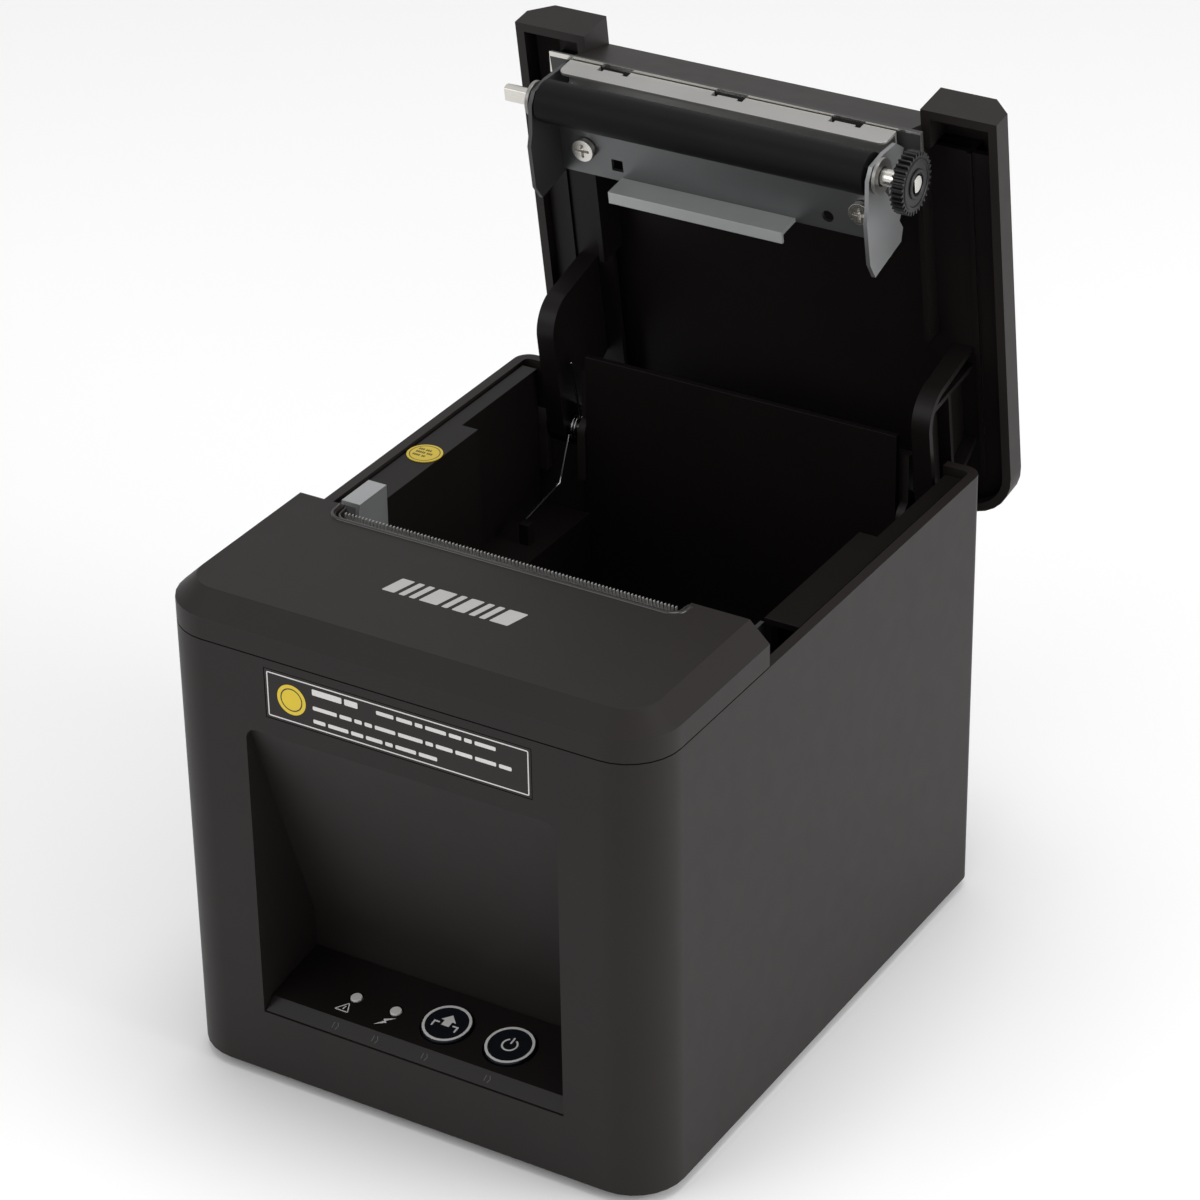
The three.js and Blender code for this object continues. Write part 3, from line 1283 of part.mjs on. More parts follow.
// Points of an arc about a centre, between two angles in degrees.
const corner = (u, v, radius, from, to, steps = 5) =>
  Array.from({ length: steps + 1 }, (_, step) => {
    const angle = THREE.MathUtils.degToRad(from + ((to - from) * step) / steps);
    return [u + radius * Math.cos(angle), v + radius * Math.sin(angle)];
  });

function fixedBlade() {
  const half = PLATE_IN - 0.5;
  return box(-half, half, BLADE_EDGE_Y, 65, BLADE_Z, BLADE_Z + BLADE_THICK);
}

// Sheet under the fixed blade, with a flange down in front of the roller.
function bladePlate() {
  const top = BLADE_Z - GAP;
  const low = top - FLANGE_DROP;
  const half = PLATEN_HALF;
  const rear = FLANGE_FRONT + FLANGE_SHEET;
  const flange = prismY(
    outline([
      [half, top],
      [-half, top],
      ...corner(-half + FLANGE_CORNER, low + FLANGE_CORNER, FLANGE_CORNER, 180, 270),
      ...corner(half - FLANGE_CORNER, low + FLANGE_CORNER, FLANGE_CORNER, 270, 360),
    ]),
    FLANGE_FRONT,
    rear,
  );
  const sheet = box(-half, half, FLANGE_FRONT, 58.5, top - FLANGE_SHEET, top);
  const notches = [-30, 0, 30].flatMap((x) => [
    box(x - 4, x + 4, FLANGE_FRONT - 1, rear + 1.6, top - 1.1, top + 1),
    box(x - 4, x - 2.6, FLANGE_FRONT - 1, rear + 1, top - 1.9, top),
    box(x + 2.6, x + 4, FLANGE_FRONT - 1, rear + 1, top - 1.9, top),
  ]);
  return cut(join(flange, sheet), ...notches);
}

function bracketScrew(side) {
  const x = side * BRACKET_SCREW_X;
  const y = BRACKET_SCREW_Y;
  const under = BRACKET_FACE - GAP;
  const screw = join(
    rodZ(under - 1.5, under, x, y, 2.8),
    rodZ(under - 0.5, under + 10, x, y, 1.15, 12),
  );
  const slotEnd = under - 0.7;
  return cut(
    screw,
    box(x - 1.7, x + 1.7, y - 0.3, y + 0.3, under - 3, slotEnd),
    box(x - 0.3, x + 0.3, y - 1.7, y + 1.7, under - 3, slotEnd),
  );
}

// ---------------------------------------------------------------- assembly
const printer = new THREE.Group();
const fixed = new THREE.Group();
const lid = new THREE.Group();
const lidPieces = new THREE.Group();
printer.add(fixed, lid);
fixed.add(shelfGroup);
lid.add(lidPieces);
lid.position.set(0, HINGE_Y, HINGE_Z);
lid.rotation.x = -THREE.MathUtils.degToRad(OPEN_ANGLE);
lidPieces.position.set(0, -HINGE_Y, -HINGE_Z);

fixed.add(
  mesh("main_housing", mainHousing(), plastic(CHARCOAL, 0.55)),
  mesh("bottom_cover", bottomCover(), plastic(INNER_BLACK, 0.6)),
  mesh("control_panel", panelWithHoles(), plastic(0x262221, 0.35)),
  mesh("instruction_label", instructionLabel(), plastic(0x2b2827, 0.4)),
  mesh("front_cover", frontCover(), plastic(CHARCOAL, 0.5)),
  mesh("tear_bar", tearBar(), metal(0x6f6b69, 0.4)),
  mesh("paper_bay", paperBay(), plastic(INNER_BLACK, 0.5)),
  mesh("inspection_sticker", inspectionSticker(), plastic(0xc9b23a, 0.5)),
  mesh("left_side_plate", sidePlate(-1), metal(STEEL, 0.35)),
  mesh("right_side_plate", sidePlate(1), metal(STEEL, 0.35)),
  mesh("mechanism_frame", mechanismFrame(), metal(STEEL, 0.4)),
  mesh("print_head", headPlate(), metal(0xa9adb0, 0.4)),
  mesh("head_glass", headGlass(), plastic(0xd9d4c8, 0.2)),
  mesh("head_pivot", headPivot(), metal(STEEL, 0.3)),
  mesh("head_spring_left", headSpring(-1), metal(STEEL, 0.3)),
  mesh("head_spring_right", headSpring(1), metal(STEEL, 0.3)),
  mesh("feed_motor", feedMotor(), metal(0x8b8e90, 0.4)),
  mesh("feed_motor_pinion", feedPinion(), metal(0xb59a4c, 0.35)),
  mesh("feed_idler_gear", feedGear(IDLER_TEETH, idlerPhase, IDLER_AXIS, STUD_RADIUS + GAP),
    plastic(0xe8e4da, 0.5)),
  mesh("feed_drive_gear", feedGear(DRIVE_TEETH, FEED_PHASE, DRIVE_AXIS, STUD_RADIUS + GAP),
    plastic(0xe8e4da, 0.5)),
  mesh("cutter_frame", cutterFrame(), metal(STEEL, 0.4)),
  mesh("moving_blade", movingBlade(), metal(0xc4c7c9, 0.25)),
  mesh("cutter_motor", cutterMotor(), metal(0x8b8e90, 0.4)),
  mesh("cutter_motor_pinion", cutterPinion(), metal(0xb59a4c, 0.35)),
  mesh("cutter_reset_gear", resetGear(), plastic(0xe8e4da, 0.5)),
  mesh("main_board", mainBoard(), plastic(0x1f5a38, 0.5)),
  mesh("lid_spring", lidSpring(), metal(0xd5d7d8, 0.25)),
  mesh("hinge_pin_left", hingePin(-1), metal(STEEL, 0.3)),
  mesh("hinge_pin_right", hingePin(1), metal(STEEL, 0.3)),
);

const FOOT_NAMES = ["front_left", "rear_left", "front_right", "rear_right"];
FOOT_XS.flatMap((x) => FOOT_YS.map((y) => [x, y])).forEach(([x, y], i) => {
  fixed.add(mesh("rubber_foot_" + FOOT_NAMES[i], rubberFoot(x, y), plastic(0x1b1a1a, 0.9)));
});
[-BOSS_X, BOSS_X].flatMap((x) => BOSS_YS.map((y) => [x, y])).forEach(([x, y], i) => {
  fixed.add(mesh("base_screw_" + FOOT_NAMES[i], baseScrew(x, y), metal(0x3c3c3e, 0.4)));
});
for (const [name, shape] of Object.entries(PORTS)) {
  const shell = name === "dc_jack" || name === "drawer_port" ? plastic(0x1b1b1c, 0.5) : metal(STEEL, 0.35);
  fixed.add(mesh(name, port(shape), shell));
}

shelfGroup.add(
  mesh("feed_button", pushButton(FEED_BUTTON_X), plastic(0x0d0d0e, 0.2)),
  mesh("power_button", pushButton(POWER_BUTTON_X), plastic(0x0d0d0e, 0.2)),
  mesh("error_light", lightPipe(ERROR_LIGHT_X), plastic(0xcfcac6, 0.4)),
  mesh("power_light", lightPipe(POWER_LIGHT_X), plastic(0xcfcac6, 0.4)),
  mesh("button_board", buttonBoard(), plastic(0x1f5a38, 0.5)),
);

lidPieces.add(
  mesh("lid_outer", lidOuter(), plastic(CHARCOAL, 0.5)),
  mesh("lid_inner", lidInner(), plastic(INNER_BLACK, 0.5)),
  mesh("platen_bracket", platenBracket(), metal(STEEL, 0.35)),
  mesh("platen_shaft", platenShaft(), metal(0xcfd1d2, 0.25)),
  mesh("platen_roller", platenRoller(), plastic(0x151314, 0.75)),
  mesh("platen_gear", platenGear(), plastic(0x121112, 0.45)),
  mesh("platen_bush_left", platenBush(-1), metal(0xc9c6bd, 0.35)),
  mesh("platen_bush_right", platenBush(1), metal(0xc9c6bd, 0.35)),
  mesh("fixed_blade", fixedBlade(), metal(0xd8d4ca, 0.3)),
  mesh("blade_plate", bladePlate(), metal(0xc3c6c8, 0.35)),
  mesh("bracket_screw_left", bracketScrew(-1), metal(0xc6c7c8, 0.3)),
  mesh("bracket_screw_right", bracketScrew(1), metal(0xc6c7c8, 0.3)),
);

function instructionLabel() {
  return box(-LABEL_HALF, LABEL_HALF, 0.02, 0.02 + LABEL_THICK, LABEL_BOTTOM, LABEL_TOP);
}

function inspectionSticker() {
  return rodZ(LEDGE_TOP + 0.02, LEDGE_TOP + 0.2, -55, 96.5, 4.3, 32);
}

// The origin goes under the centre of the footprint of the open printer.
const reach = new THREE.Box3().setFromObject(printer, true);
const middle = (reach.min.y + reach.max.y) / 2;
printer.position.set(0, -middle, 0);

export default printer;
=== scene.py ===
"""Receipt printer with its lid open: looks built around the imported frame. Metres, +Z up."""
import json
import math

import bmesh
import bpy
from mathutils import Matrix, Vector


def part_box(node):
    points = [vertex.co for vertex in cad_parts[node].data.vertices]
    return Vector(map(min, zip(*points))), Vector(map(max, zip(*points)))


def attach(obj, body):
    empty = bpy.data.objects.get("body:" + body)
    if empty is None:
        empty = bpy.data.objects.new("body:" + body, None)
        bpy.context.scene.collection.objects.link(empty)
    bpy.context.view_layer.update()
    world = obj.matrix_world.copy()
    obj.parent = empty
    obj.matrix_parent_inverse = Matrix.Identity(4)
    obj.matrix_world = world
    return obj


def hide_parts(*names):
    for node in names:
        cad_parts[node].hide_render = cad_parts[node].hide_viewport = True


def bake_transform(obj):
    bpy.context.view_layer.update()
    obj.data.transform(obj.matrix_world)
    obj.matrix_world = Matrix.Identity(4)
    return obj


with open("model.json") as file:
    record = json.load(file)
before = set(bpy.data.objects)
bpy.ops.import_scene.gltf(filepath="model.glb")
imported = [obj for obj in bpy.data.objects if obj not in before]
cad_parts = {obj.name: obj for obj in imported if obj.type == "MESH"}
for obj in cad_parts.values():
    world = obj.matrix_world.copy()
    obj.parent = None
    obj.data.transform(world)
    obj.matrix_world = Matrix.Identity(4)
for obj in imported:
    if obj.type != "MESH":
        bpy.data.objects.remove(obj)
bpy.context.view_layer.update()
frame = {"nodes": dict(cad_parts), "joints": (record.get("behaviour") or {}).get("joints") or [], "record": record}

MM = 0.001
RECORD = frame["record"]
BODY_OF = {
    node: body for body, nodes in RECORD["behaviour"]["bodies"].items() for node in nodes
}
SLOT_OF = {part["node"]: part["material_slot"] for part in RECORD["subparts"]}
JOINTS = {joint["name"]: joint for joint in frame["joints"]}
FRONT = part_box("main_housing")[0].y
HINGE = Vector(JOINTS["lid_hinge"]["pos_m"])
PLATEN = Vector(JOINTS["platen_spin"]["pos_m"])
OPEN_ANGLE = math.radians(JOINTS["lid_hinge"]["range_deg"][1])
COVER_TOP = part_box("front_cover")[1].z / MM


def at(x, y, z):
    """A point given in millimetres from the front face and the table."""
    return Vector((x * MM, FRONT + y * MM, z * MM))


# ------------------------------------------------------------------ camera, lights, floor
CAMERA_AZIMUTH = math.radians(31.417)
CAMERA_ELEVATION = math.radians(29.91)
CAMERA_ROLL = math.radians(-0.997)
CAMERA_AIM = at(0.2, 83.35, 95.4)
CAMERA_DISTANCE = 0.964
CAMERA_LENS = 127.4
CAMERA_SENSOR = 36
CAMERA_REACH = (0.01, 50)


def add_camera():
    camera = bpy.data.objects.new("camera", bpy.data.cameras.new("camera"))
    bpy.context.scene.collection.objects.link(camera)
    camera.data.lens = CAMERA_LENS
    camera.data.sensor_width = CAMERA_SENSOR
    camera.data.clip_start, camera.data.clip_end = CAMERA_REACH
    level = math.cos(CAMERA_ELEVATION)
    look = Vector((
        -math.sin(CAMERA_AZIMUTH) * level,
        math.cos(CAMERA_AZIMUTH) * level,
        -math.sin(CAMERA_ELEVATION),
    ))
    right = Vector((math.cos(CAMERA_AZIMUTH), math.sin(CAMERA_AZIMUTH), 0))
    up = right.cross(look)
    turned = right * math.cos(CAMERA_ROLL) + up * math.sin(CAMERA_ROLL)
    up = turned.cross(look)
    camera.matrix_world = Matrix((
        (turned.x, up.x, -look.x, 0),
        (turned.y, up.y, -look.y, 0),
        (turned.z, up.z, -look.z, 0),
        (0, 0, 0, 1),
    ))
    camera.location = CAMERA_AIM - look * CAMERA_DISTANCE
    bpy.context.scene.camera = camera


WORLD_STRENGTH = 0.70
LIGHT_AIM = Vector((0, 0, 0.08))
# name: (place, size, power)
LIGHTS = {
    "key": ((1.15, 0.1, 0.5), 0.8, 8.5),
    "fill": ((-0.6, -1.0, 0.7), 0.8, 3),
    "overhead": ((0.0, 0.1, 1.4), 0.7, 6),
}
FLOOR_SIZE = 8


def add_light(name, place, size, power):
    data = bpy.data.lights.new(name, "AREA")
    data.shape = "DISK"
    data.size = size
    data.energy = power
    lamp = bpy.data.objects.new(name, data)
    bpy.context.scene.collection.objects.link(lamp)
    lamp.location = place
    lamp.rotation_euler = (LIGHT_AIM - Vector(place)).to_track_quat("-Z", "Y").to_euler()


def add_studio():
    world = bpy.data.worlds.new("studio")
    bpy.context.scene.world = world
    world.use_nodes = True
    sky = world.node_tree.nodes["Background"]
    sky.inputs["Color"].default_value = (1, 1, 1, 1)
    sky.inputs["Strength"].default_value = WORLD_STRENGTH
    for name, (place, size, power) in LIGHTS.items():
        add_light(name, place, size, power)
    bpy.context.scene.view_settings.view_transform = "Standard"
    bpy.ops.mesh.primitive_plane_add(size=FLOOR_SIZE, location=(0, 0, 0))
    floor = bpy.context.object
    floor.name = "floor"
    floor.data.materials.append(floor_paint())


# ------------------------------------------------------------------ materials
def new_material(name):
    material = bpy.data.materials.new(name)
    material.use_nodes = True
    nodes = material.node_tree.nodes
    return material, nodes, material.node_tree.links, nodes["Principled BSDF"]


def noise(nodes, links, scale, detail=3, stretch=None):
    texture = nodes.new("ShaderNodeTexNoise")
    texture.inputs["Scale"].default_value = scale
    texture.inputs["Detail"].default_value = detail
    place = nodes.new("ShaderNodeTexCoord").outputs["Object"]
    if stretch:
        mapping = nodes.new("ShaderNodeMapping")
        mapping.inputs["Scale"].default_value = stretch
        links.new(place, mapping.inputs["Vector"])
        place = mapping.outputs["Vector"]
    links.new(place, texture.inputs["Vector"])
    return texture.outputs["Fac"]


def spread(nodes, links, value, low, high):
    """The value, which lies about 0.5, spread between two limits."""
    reach = nodes.new("ShaderNodeMapRange")
    reach.inputs["From Min"].default_value = 0.25
    reach.inputs["From Max"].default_value = 0.75
    reach.inputs["To Min"].default_value = low
    reach.inputs["To Max"].default_value = high
    links.new(value, reach.inputs["Value"])
    return reach.outputs["Result"]


def blend_colors(nodes, links, value, first, second):
    ramp = nodes.new("ShaderNodeValToRGB")
    ramp.color_ramp.elements[0].position = 0.3
    ramp.color_ramp.elements[0].color = (*first, 1)
    ramp.color_ramp.elements[1].position = 0.7
    ramp.color_ramp.elements[1].color = (*second, 1)
    links.new(value, ramp.inputs["Fac"])
    return ramp.outputs["Color"]


SLOW_SCALE = 45
GLOSS_SCALE = 160
GLOSS_SPREAD = 0.04


def surface(name, color, rough, metallic, grain=2500, relief=0.00002, strength=0.25,
            mottle=0.12, stretch=None, coat=0.0, coat_rough=0.1, specular=0.5):
    """A surface with fine relief, slow colour change and uneven gloss."""
    material, nodes, links, shader = new_material(name)
    shader.inputs["Metallic"].default_value = metallic
    shader.inputs["Specular IOR Level"].default_value = specular
    if coat:
        shader.inputs["Coat Weight"].default_value = coat
        shader.inputs["Coat Roughness"].default_value = coat_rough
    slow = noise(nodes, links, SLOW_SCALE, 4)
    darker = [c * (1 - mottle) for c in color]
    lighter = [min(1, c * (1 + mottle)) for c in color]
    links.new(blend_colors(nodes, links, slow, darker, lighter), shader.inputs["Base Color"])
    fine = noise(nodes, links, grain, 2, stretch)
    gloss = noise(nodes, links, GLOSS_SCALE, 3, stretch)
    links.new(spread(nodes, links, gloss, rough * (1 - GLOSS_SPREAD),
                     min(1, rough * (1 + GLOSS_SPREAD))),
              shader.inputs["Roughness"])
    bump = nodes.new("ShaderNodeBump")
    bump.inputs["Strength"].default_value = strength
    bump.inputs["Distance"].default_value = relief
    links.new(fine, bump.inputs["Height"])
    links.new(bump.outputs["Normal"], shader.inputs["Normal"])
    return material


def floor_paint():
    material, nodes, links, shader = new_material("floor_paint")
    slow = noise(nodes, links, 1.2, 2)
    links.new(blend_colors(nodes, links, slow, (0.86, 0.86, 0.86), (0.9, 0.9, 0.9)),
              shader.inputs["Base Color"])
    shader.inputs["Roughness"].default_value = 0.6
    return material


GRAIN_ALONG_X = (0.03, 1, 1)
# name: (colour, roughness, metallic share, what differs from the defaults of surface())
SURFACES = {
    "charcoal_plastic": ((0.0142, 0.0116, 0.0109), 0.48, 0.0, dict(
        grain=2600, relief=0.00004, strength=0.3, mottle=0.04, specular=0.19)),
    "trim_plastic": ((0.0160, 0.0132, 0.0125), 0.22, 0.0, dict(
        grain=1600, mottle=0.04, specular=0.5)),
    "inner_plastic": ((0.0068, 0.0053, 0.0051), 0.38, 0.0, dict(
        grain=1200, mottle=0.08, specular=0.14)),
    "panel_plastic": ((0.0085, 0.0068, 0.0064), 0.3, 0.0, dict(
        grain=1500, mottle=0.08, specular=0.2)),
    "button_gloss": ((0.0030, 0.0042, 0.0075), 0.14, 0.0, dict(
        grain=400, strength=0.05, coat=0.25, coat_rough=0.06, specular=0.3)),
    "light_lens": ((0.60, 0.58, 0.56), 0.35, 0.0, dict(grain=1500, mottle=0.04)),
    "label_film": ((0.0130, 0.0105, 0.0098), 0.36, 0.0, dict(
        grain=900, mottle=0.04, specular=0.22)),
    "sticker_film": ((0.50, 0.37, 0.03), 0.35, 0.0, dict(grain=900, mottle=0.06, specular=0.3)),
    "sheet_steel": ((0.38, 0.385, 0.39), 0.46, 0.85, dict(
        grain=3000, stretch=GRAIN_ALONG_X, mottle=0.06)),
    "bracket_steel": ((0.150, 0.154, 0.157), 0.42, 0.9, dict(
        grain=3000, stretch=GRAIN_ALONG_X, mottle=0.08)),
    # A lighter copy of the bracket's steel: painted light on the right ear's lit face.
    "ear_steel_painted_light": ((0.26, 0.263, 0.267), 0.45, 0.85, dict(
        grain=3000, stretch=GRAIN_ALONG_X, mottle=0.06)),
    # A lighter copy of the bracket's steel: painted light on the top-lit lip.
    "lip_steel_painted_light": ((0.40, 0.415, 0.41), 0.42, 0.25, dict(
        grain=3000, stretch=GRAIN_ALONG_X, mottle=0.05)),
    # Steel far darker than the bracket's: painted shade on the bracket's left ear, and the dark steel of the fixed
    # blade and the right side plate.
    "dark_steel_painted_shade": ((0.075, 0.075, 0.077), 0.5, 0.8, dict(
        grain=3000, stretch=GRAIN_ALONG_X, mottle=0.08)),
    "plate_steel": ((0.36, 0.355, 0.345), 0.5, 0.8, dict(
        grain=3000, stretch=GRAIN_ALONG_X, mottle=0.05)),
    # Bright steel of the blade's ground edge, far lighter than the blade itself: partly its real ground finish,
    # partly a painted highlight.
    "bright_steel": ((0.66, 0.64, 0.60), 0.27, 1.0, dict(
        grain=3500, stretch=GRAIN_ALONG_X, mottle=0.06)),
    "spring_steel": ((0.36, 0.355, 0.35), 0.22, 1.0, dict(grain=3500, mottle=0.05)),
    "aluminium_sink": ((0.56, 0.57, 0.58), 0.4, 1.0, dict(grain=2500, stretch=GRAIN_ALONG_X)),
    "head_ceramic": ((0.55, 0.52, 0.46), 0.2, 0.0, dict(grain=900, coat=0.5)),
    "roller_rubber": ((0.0060, 0.0060, 0.0063), 0.5, 0.0, dict(
        grain=2600, relief=0.00004, strength=0.35, mottle=0.08, specular=0.08)),
    "foot_rubber": ((0.010, 0.0095, 0.0095), 0.8, 0.0, dict(
        grain=1500, relief=0.00006, strength=0.5, specular=0.2)),
    "black_gear": ((0.0060, 0.0058, 0.0058), 0.38, 0.0, dict(grain=1500, specular=0.3)),
    "white_gear": ((0.62, 0.59, 0.52), 0.45, 0.0, dict(grain=1500)),
    "brass_gear": ((0.66, 0.48, 0.20), 0.3, 1.0, dict(grain=3000)),
    "motor_case": ((0.40, 0.41, 0.42), 0.38, 1.0, dict(grain=2500, stretch=GRAIN_ALONG_X)),
    "circuit_board": ((0.012, 0.08, 0.035), 0.35, 0.0, dict(grain=700, coat=0.3)),
    "black_socket": ((0.0060, 0.0060, 0.0060), 0.45, 0.0, dict(grain=1500, specular=0.25)),
    "dark_screw": ((0.09, 0.09, 0.095), 0.35, 1.0, dict(grain=2500)),
    "white_bush": ((0.24, 0.235, 0.225), 0.35, 0.6, dict(grain=1500)),
    "white_print": ((0.62, 0.61, 0.60), 0.5, 0.0, dict(grain=1500, mottle=0.04)),
    "mark_print": ((0.36, 0.35, 0.345), 0.5, 0.0, dict(grain=1500, mottle=0.05)),
    "faint_print": ((0.060, 0.057, 0.056), 0.5, 0.0, dict(grain=1500)),
    "yellow_print": ((0.66, 0.48, 0.015), 0.45, 0.0, dict(grain=1500, mottle=0.04)),
    "dark_print": ((0.020, 0.017, 0.012), 0.5, 0.0, dict(grain=1500)),
}


# ------------------------------------------------------------------ pieces
def place(piece, node, material=None, replace=False):
    """Gives a new piece the body and the slot of a CAD node."""
    slot = SLOT_OF[node]
    if piece.type == "MESH" and not piece.data.materials:
        piece.data.materials.append(MATERIALS[material or slot])
    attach(piece, BODY_OF[node])
    if replace:
        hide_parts(node)
    return piece


def smooth(piece, degrees=32):
    for face in piece.data.polygons:
        face.use_smooth = True
    piece.data.set_sharp_from_angle(angle=math.radians(degrees))


def from_bmesh(name, mesh):
    data = bpy.data.meshes.new(name)
    bmesh.ops.recalc_face_normals(mesh, faces=mesh.faces)
    mesh.to_mesh(data)
    mesh.free()
    piece = bpy.data.objects.new(name, data)
    bpy.context.scene.collection.objects.link(piece)
    return piece


def settle(piece):
    """Applies a piece's modifiers."""
    depsgraph = bpy.context.evaluated_depsgraph_get()
    data = bpy.data.meshes.new_from_object(piece.evaluated_get(depsgraph))
    piece.modifiers.clear()
    old = piece.data
    piece.data = data
    bpy.data.meshes.remove(old)


def paint_faces(piece, material, chosen):
    """Gives another material to the faces whose middles are chosen."""
    piece.data.materials.append(MATERIALS[material])
    index = len(piece.data.materials) - 1
    for face in piece.data.polygons:
        if chosen(face.center):
            face.material_index = index


MERGE_DISTANCE = 0.000004
FLAT_ANGLE = math.radians(0.6)
BEVEL_SEGMENTS = 2
BEVEL_ANGLE = math.radians(30)


def rounded_copy(node, width, material=None):
    """A CAD node's shape with its flat faces joined up and its edges rounded."""
    mesh = bmesh.new()
    mesh.from_mesh(frame["nodes"][node].data)
    bmesh.ops.remove_doubles(mesh, verts=mesh.verts, dist=MERGE_DISTANCE)
    bmesh.ops.dissolve_limit(mesh, angle_limit=FLAT_ANGLE, verts=mesh.verts, edges=mesh.edges)
    piece = from_bmesh(node + "_shape", mesh)
    piece.data.materials.clear()
    bevel = piece.modifiers.new("rounding", "BEVEL")
    bevel.width = width * MM
    bevel.segments = BEVEL_SEGMENTS
    bevel.limit_method = "ANGLE"
    bevel.angle_limit = BEVEL_ANGLE
    bevel.use_clamp_overlap = True
    bevel.miter_outer = "MITER_ARC"
    settle(piece)
    smooth(piece)
    normals = piece.modifiers.new("even_normals", "WEIGHTED_NORMAL")
    normals.weight = 100
    normals.keep_sharp = True
    settle(piece)
    return place(piece, node, material, replace=True)


# The radius of each node's edges, in mm.
ROUNDING = {
    "main_housing": 0.35,
    "front_cover": 0.3,
    "lid_outer": 0.3,
    "lid_inner": 0.25,
    "paper_bay": 0.25,
    "control_panel": 0.2,
    "bottom_cover": 0.25,
    "platen_bracket": 0.15,
    "blade_plate": 0.12,
    "fixed_blade": 0.08,
    "left_side_plate": 0.12,
    "right_side_plate": 0.12,
    "feed_button": 0.3,
    "power_button": 0.3,
    "error_light": 0.3,
    "power_light": 0.3,
    "platen_roller": 0.3,
    "platen_shaft": 0.2,
    "platen_bush_left": 0.12,
    "platen_bush_right": 0.12,
    "platen_gear": 0.06,
    "bracket_screw_left": 0.1,
    "bracket_screw_right": 0.1,
    "hinge_pin_left": 0.2,
    "hinge_pin_right": 0.2,
    "dc_jack": 0.25,
    "usb_port": 0.15,
    "lan_port": 0.15,
    "drawer_port": 0.25,
    "cutter_frame": 0.12,
    "moving_blade": 0.05,
    "mechanism_frame": 0.12,
    "print_head": 0.15,
    "head_glass": 0.1,
    "feed_motor": 0.4,
    "cutter_motor": 0.4,
    "instruction_label": 0.05,
    "tear_bar": 0.04,
}
ROUNDING.update({node: 0.35 for node in SLOT_OF if node.startswith("rubber_foot")})
ROUNDING.update({node: 0.1 for node in SLOT_OF if node.startswith("base_screw")})

# Nodes whose surface isn't the one of their slot.
FINISH = {
    "platen_bracket": "bracket_steel",
    "blade_plate": "plate_steel",
    # The fixed blade and the right side plate take the dark steel that also paints shade on the bracket's left
    # ear.
    "fixed_blade": "dark_steel_painted_shade",
    "right_side_plate": "dark_steel_painted_shade",
    "tear_bar": "plate_steel",
}


def closed(point):
    """Where a point of the open lid goes when the lid is closed, in mm as for at()."""
    turn = Matrix.Rotation(OPEN_ANGLE, 3, "X")
    moved = turn @ (point - HINGE) + HINGE
    return Vector((moved.x, moved.y - FRONT, moved.z)) / MM


EAR_INSIDE = 42.7
LIP_HALF, LIP_REAR, LIP_TOP = 30, 75.8, 98


def on_lip(point):
    spot = closed(point)
    return abs(spot.x) < LIP_HALF and spot.y > LIP_REAR and spot.z < LIP_TOP


def finish_bracket(piece):
    """Paints light and shade on the bracket in steel of other tones: the left ear darker as painted shade, the
    right ear and the lip lighter as painted light; the base keeps its own steel.
    """
    # Painted shade: the left ear in darker steel.
    paint_faces(piece, "dark_steel_painted_shade", lambda point: point.x < -EAR_INSIDE * MM)
    # Painted light: the right ear in lighter steel.
    paint_faces(piece, "ear_steel_painted_light", lambda point: point.x > EAR_INSIDE * MM)
    # Painted light: the lip in lighter steel.
    paint_faces(piece, "lip_steel_painted_light", on_lip)


def finish_cad_nodes():
    for node, shape in frame["nodes"].items():
        if node in ROUNDING:
            piece = rounded_copy(node, ROUNDING[node], FINISH.get(node))
            if node == "platen_bracket":
                finish_bracket(piece)
        elif node != "lid_spring":
            shape.data.materials.clear()
            shape.data.materials.append(MATERIALS[SLOT_OF[node]])


# ------------------------------------------------------------------ printed marks
def arc(x, y, radius, start, end, steps):
    """Points of an arc, with its angles in degrees."""
    return [
        (x + radius * math.cos(math.radians(start + (end - start) * i / steps)),
         y + radius * math.sin(math.radians(start + (end - start) * i / steps)))
        for i in range(steps + 1)
    ]


def disc(x, y, radius, steps=40):
    return arc(x, y, radius, 0, 360, steps)[:-1]


def band(points, width, around=False):
    """The two sides of a line of the given width along the points."""
    count = len(points)
    sides = ([], [])
    for i, (x, y) in enumerate(points):
        before = points[i - 1] if i or around else (x, y)
        after = points[(i + 1) % count] if i + 1 < count or around else (x, y)
        run = Vector((after[0] - before[0], after[1] - before[1])).normalized()
        into = Vector((x - before[0], y - before[1]))
        reach = width / 2
        if into.length > 1e-6 and (after[0] - x, after[1] - y) != (0, 0):
            reach /= max(0.4, abs(into.normalized().dot(run)))
        for side, sign in zip(sides, (1, -1)):
            side.append((x - sign * run.y * reach, y + sign * run.x * reach))
    return sides


def line(points, width):
    """A line as a pair of sides, open at its ends."""
    return band(points, width)


def loop(points, width):
    """A closed line as a pair of sides, each marked by a leading None."""
    first, second = band(points, width, around=True)
    return [None] + first, [None] + second


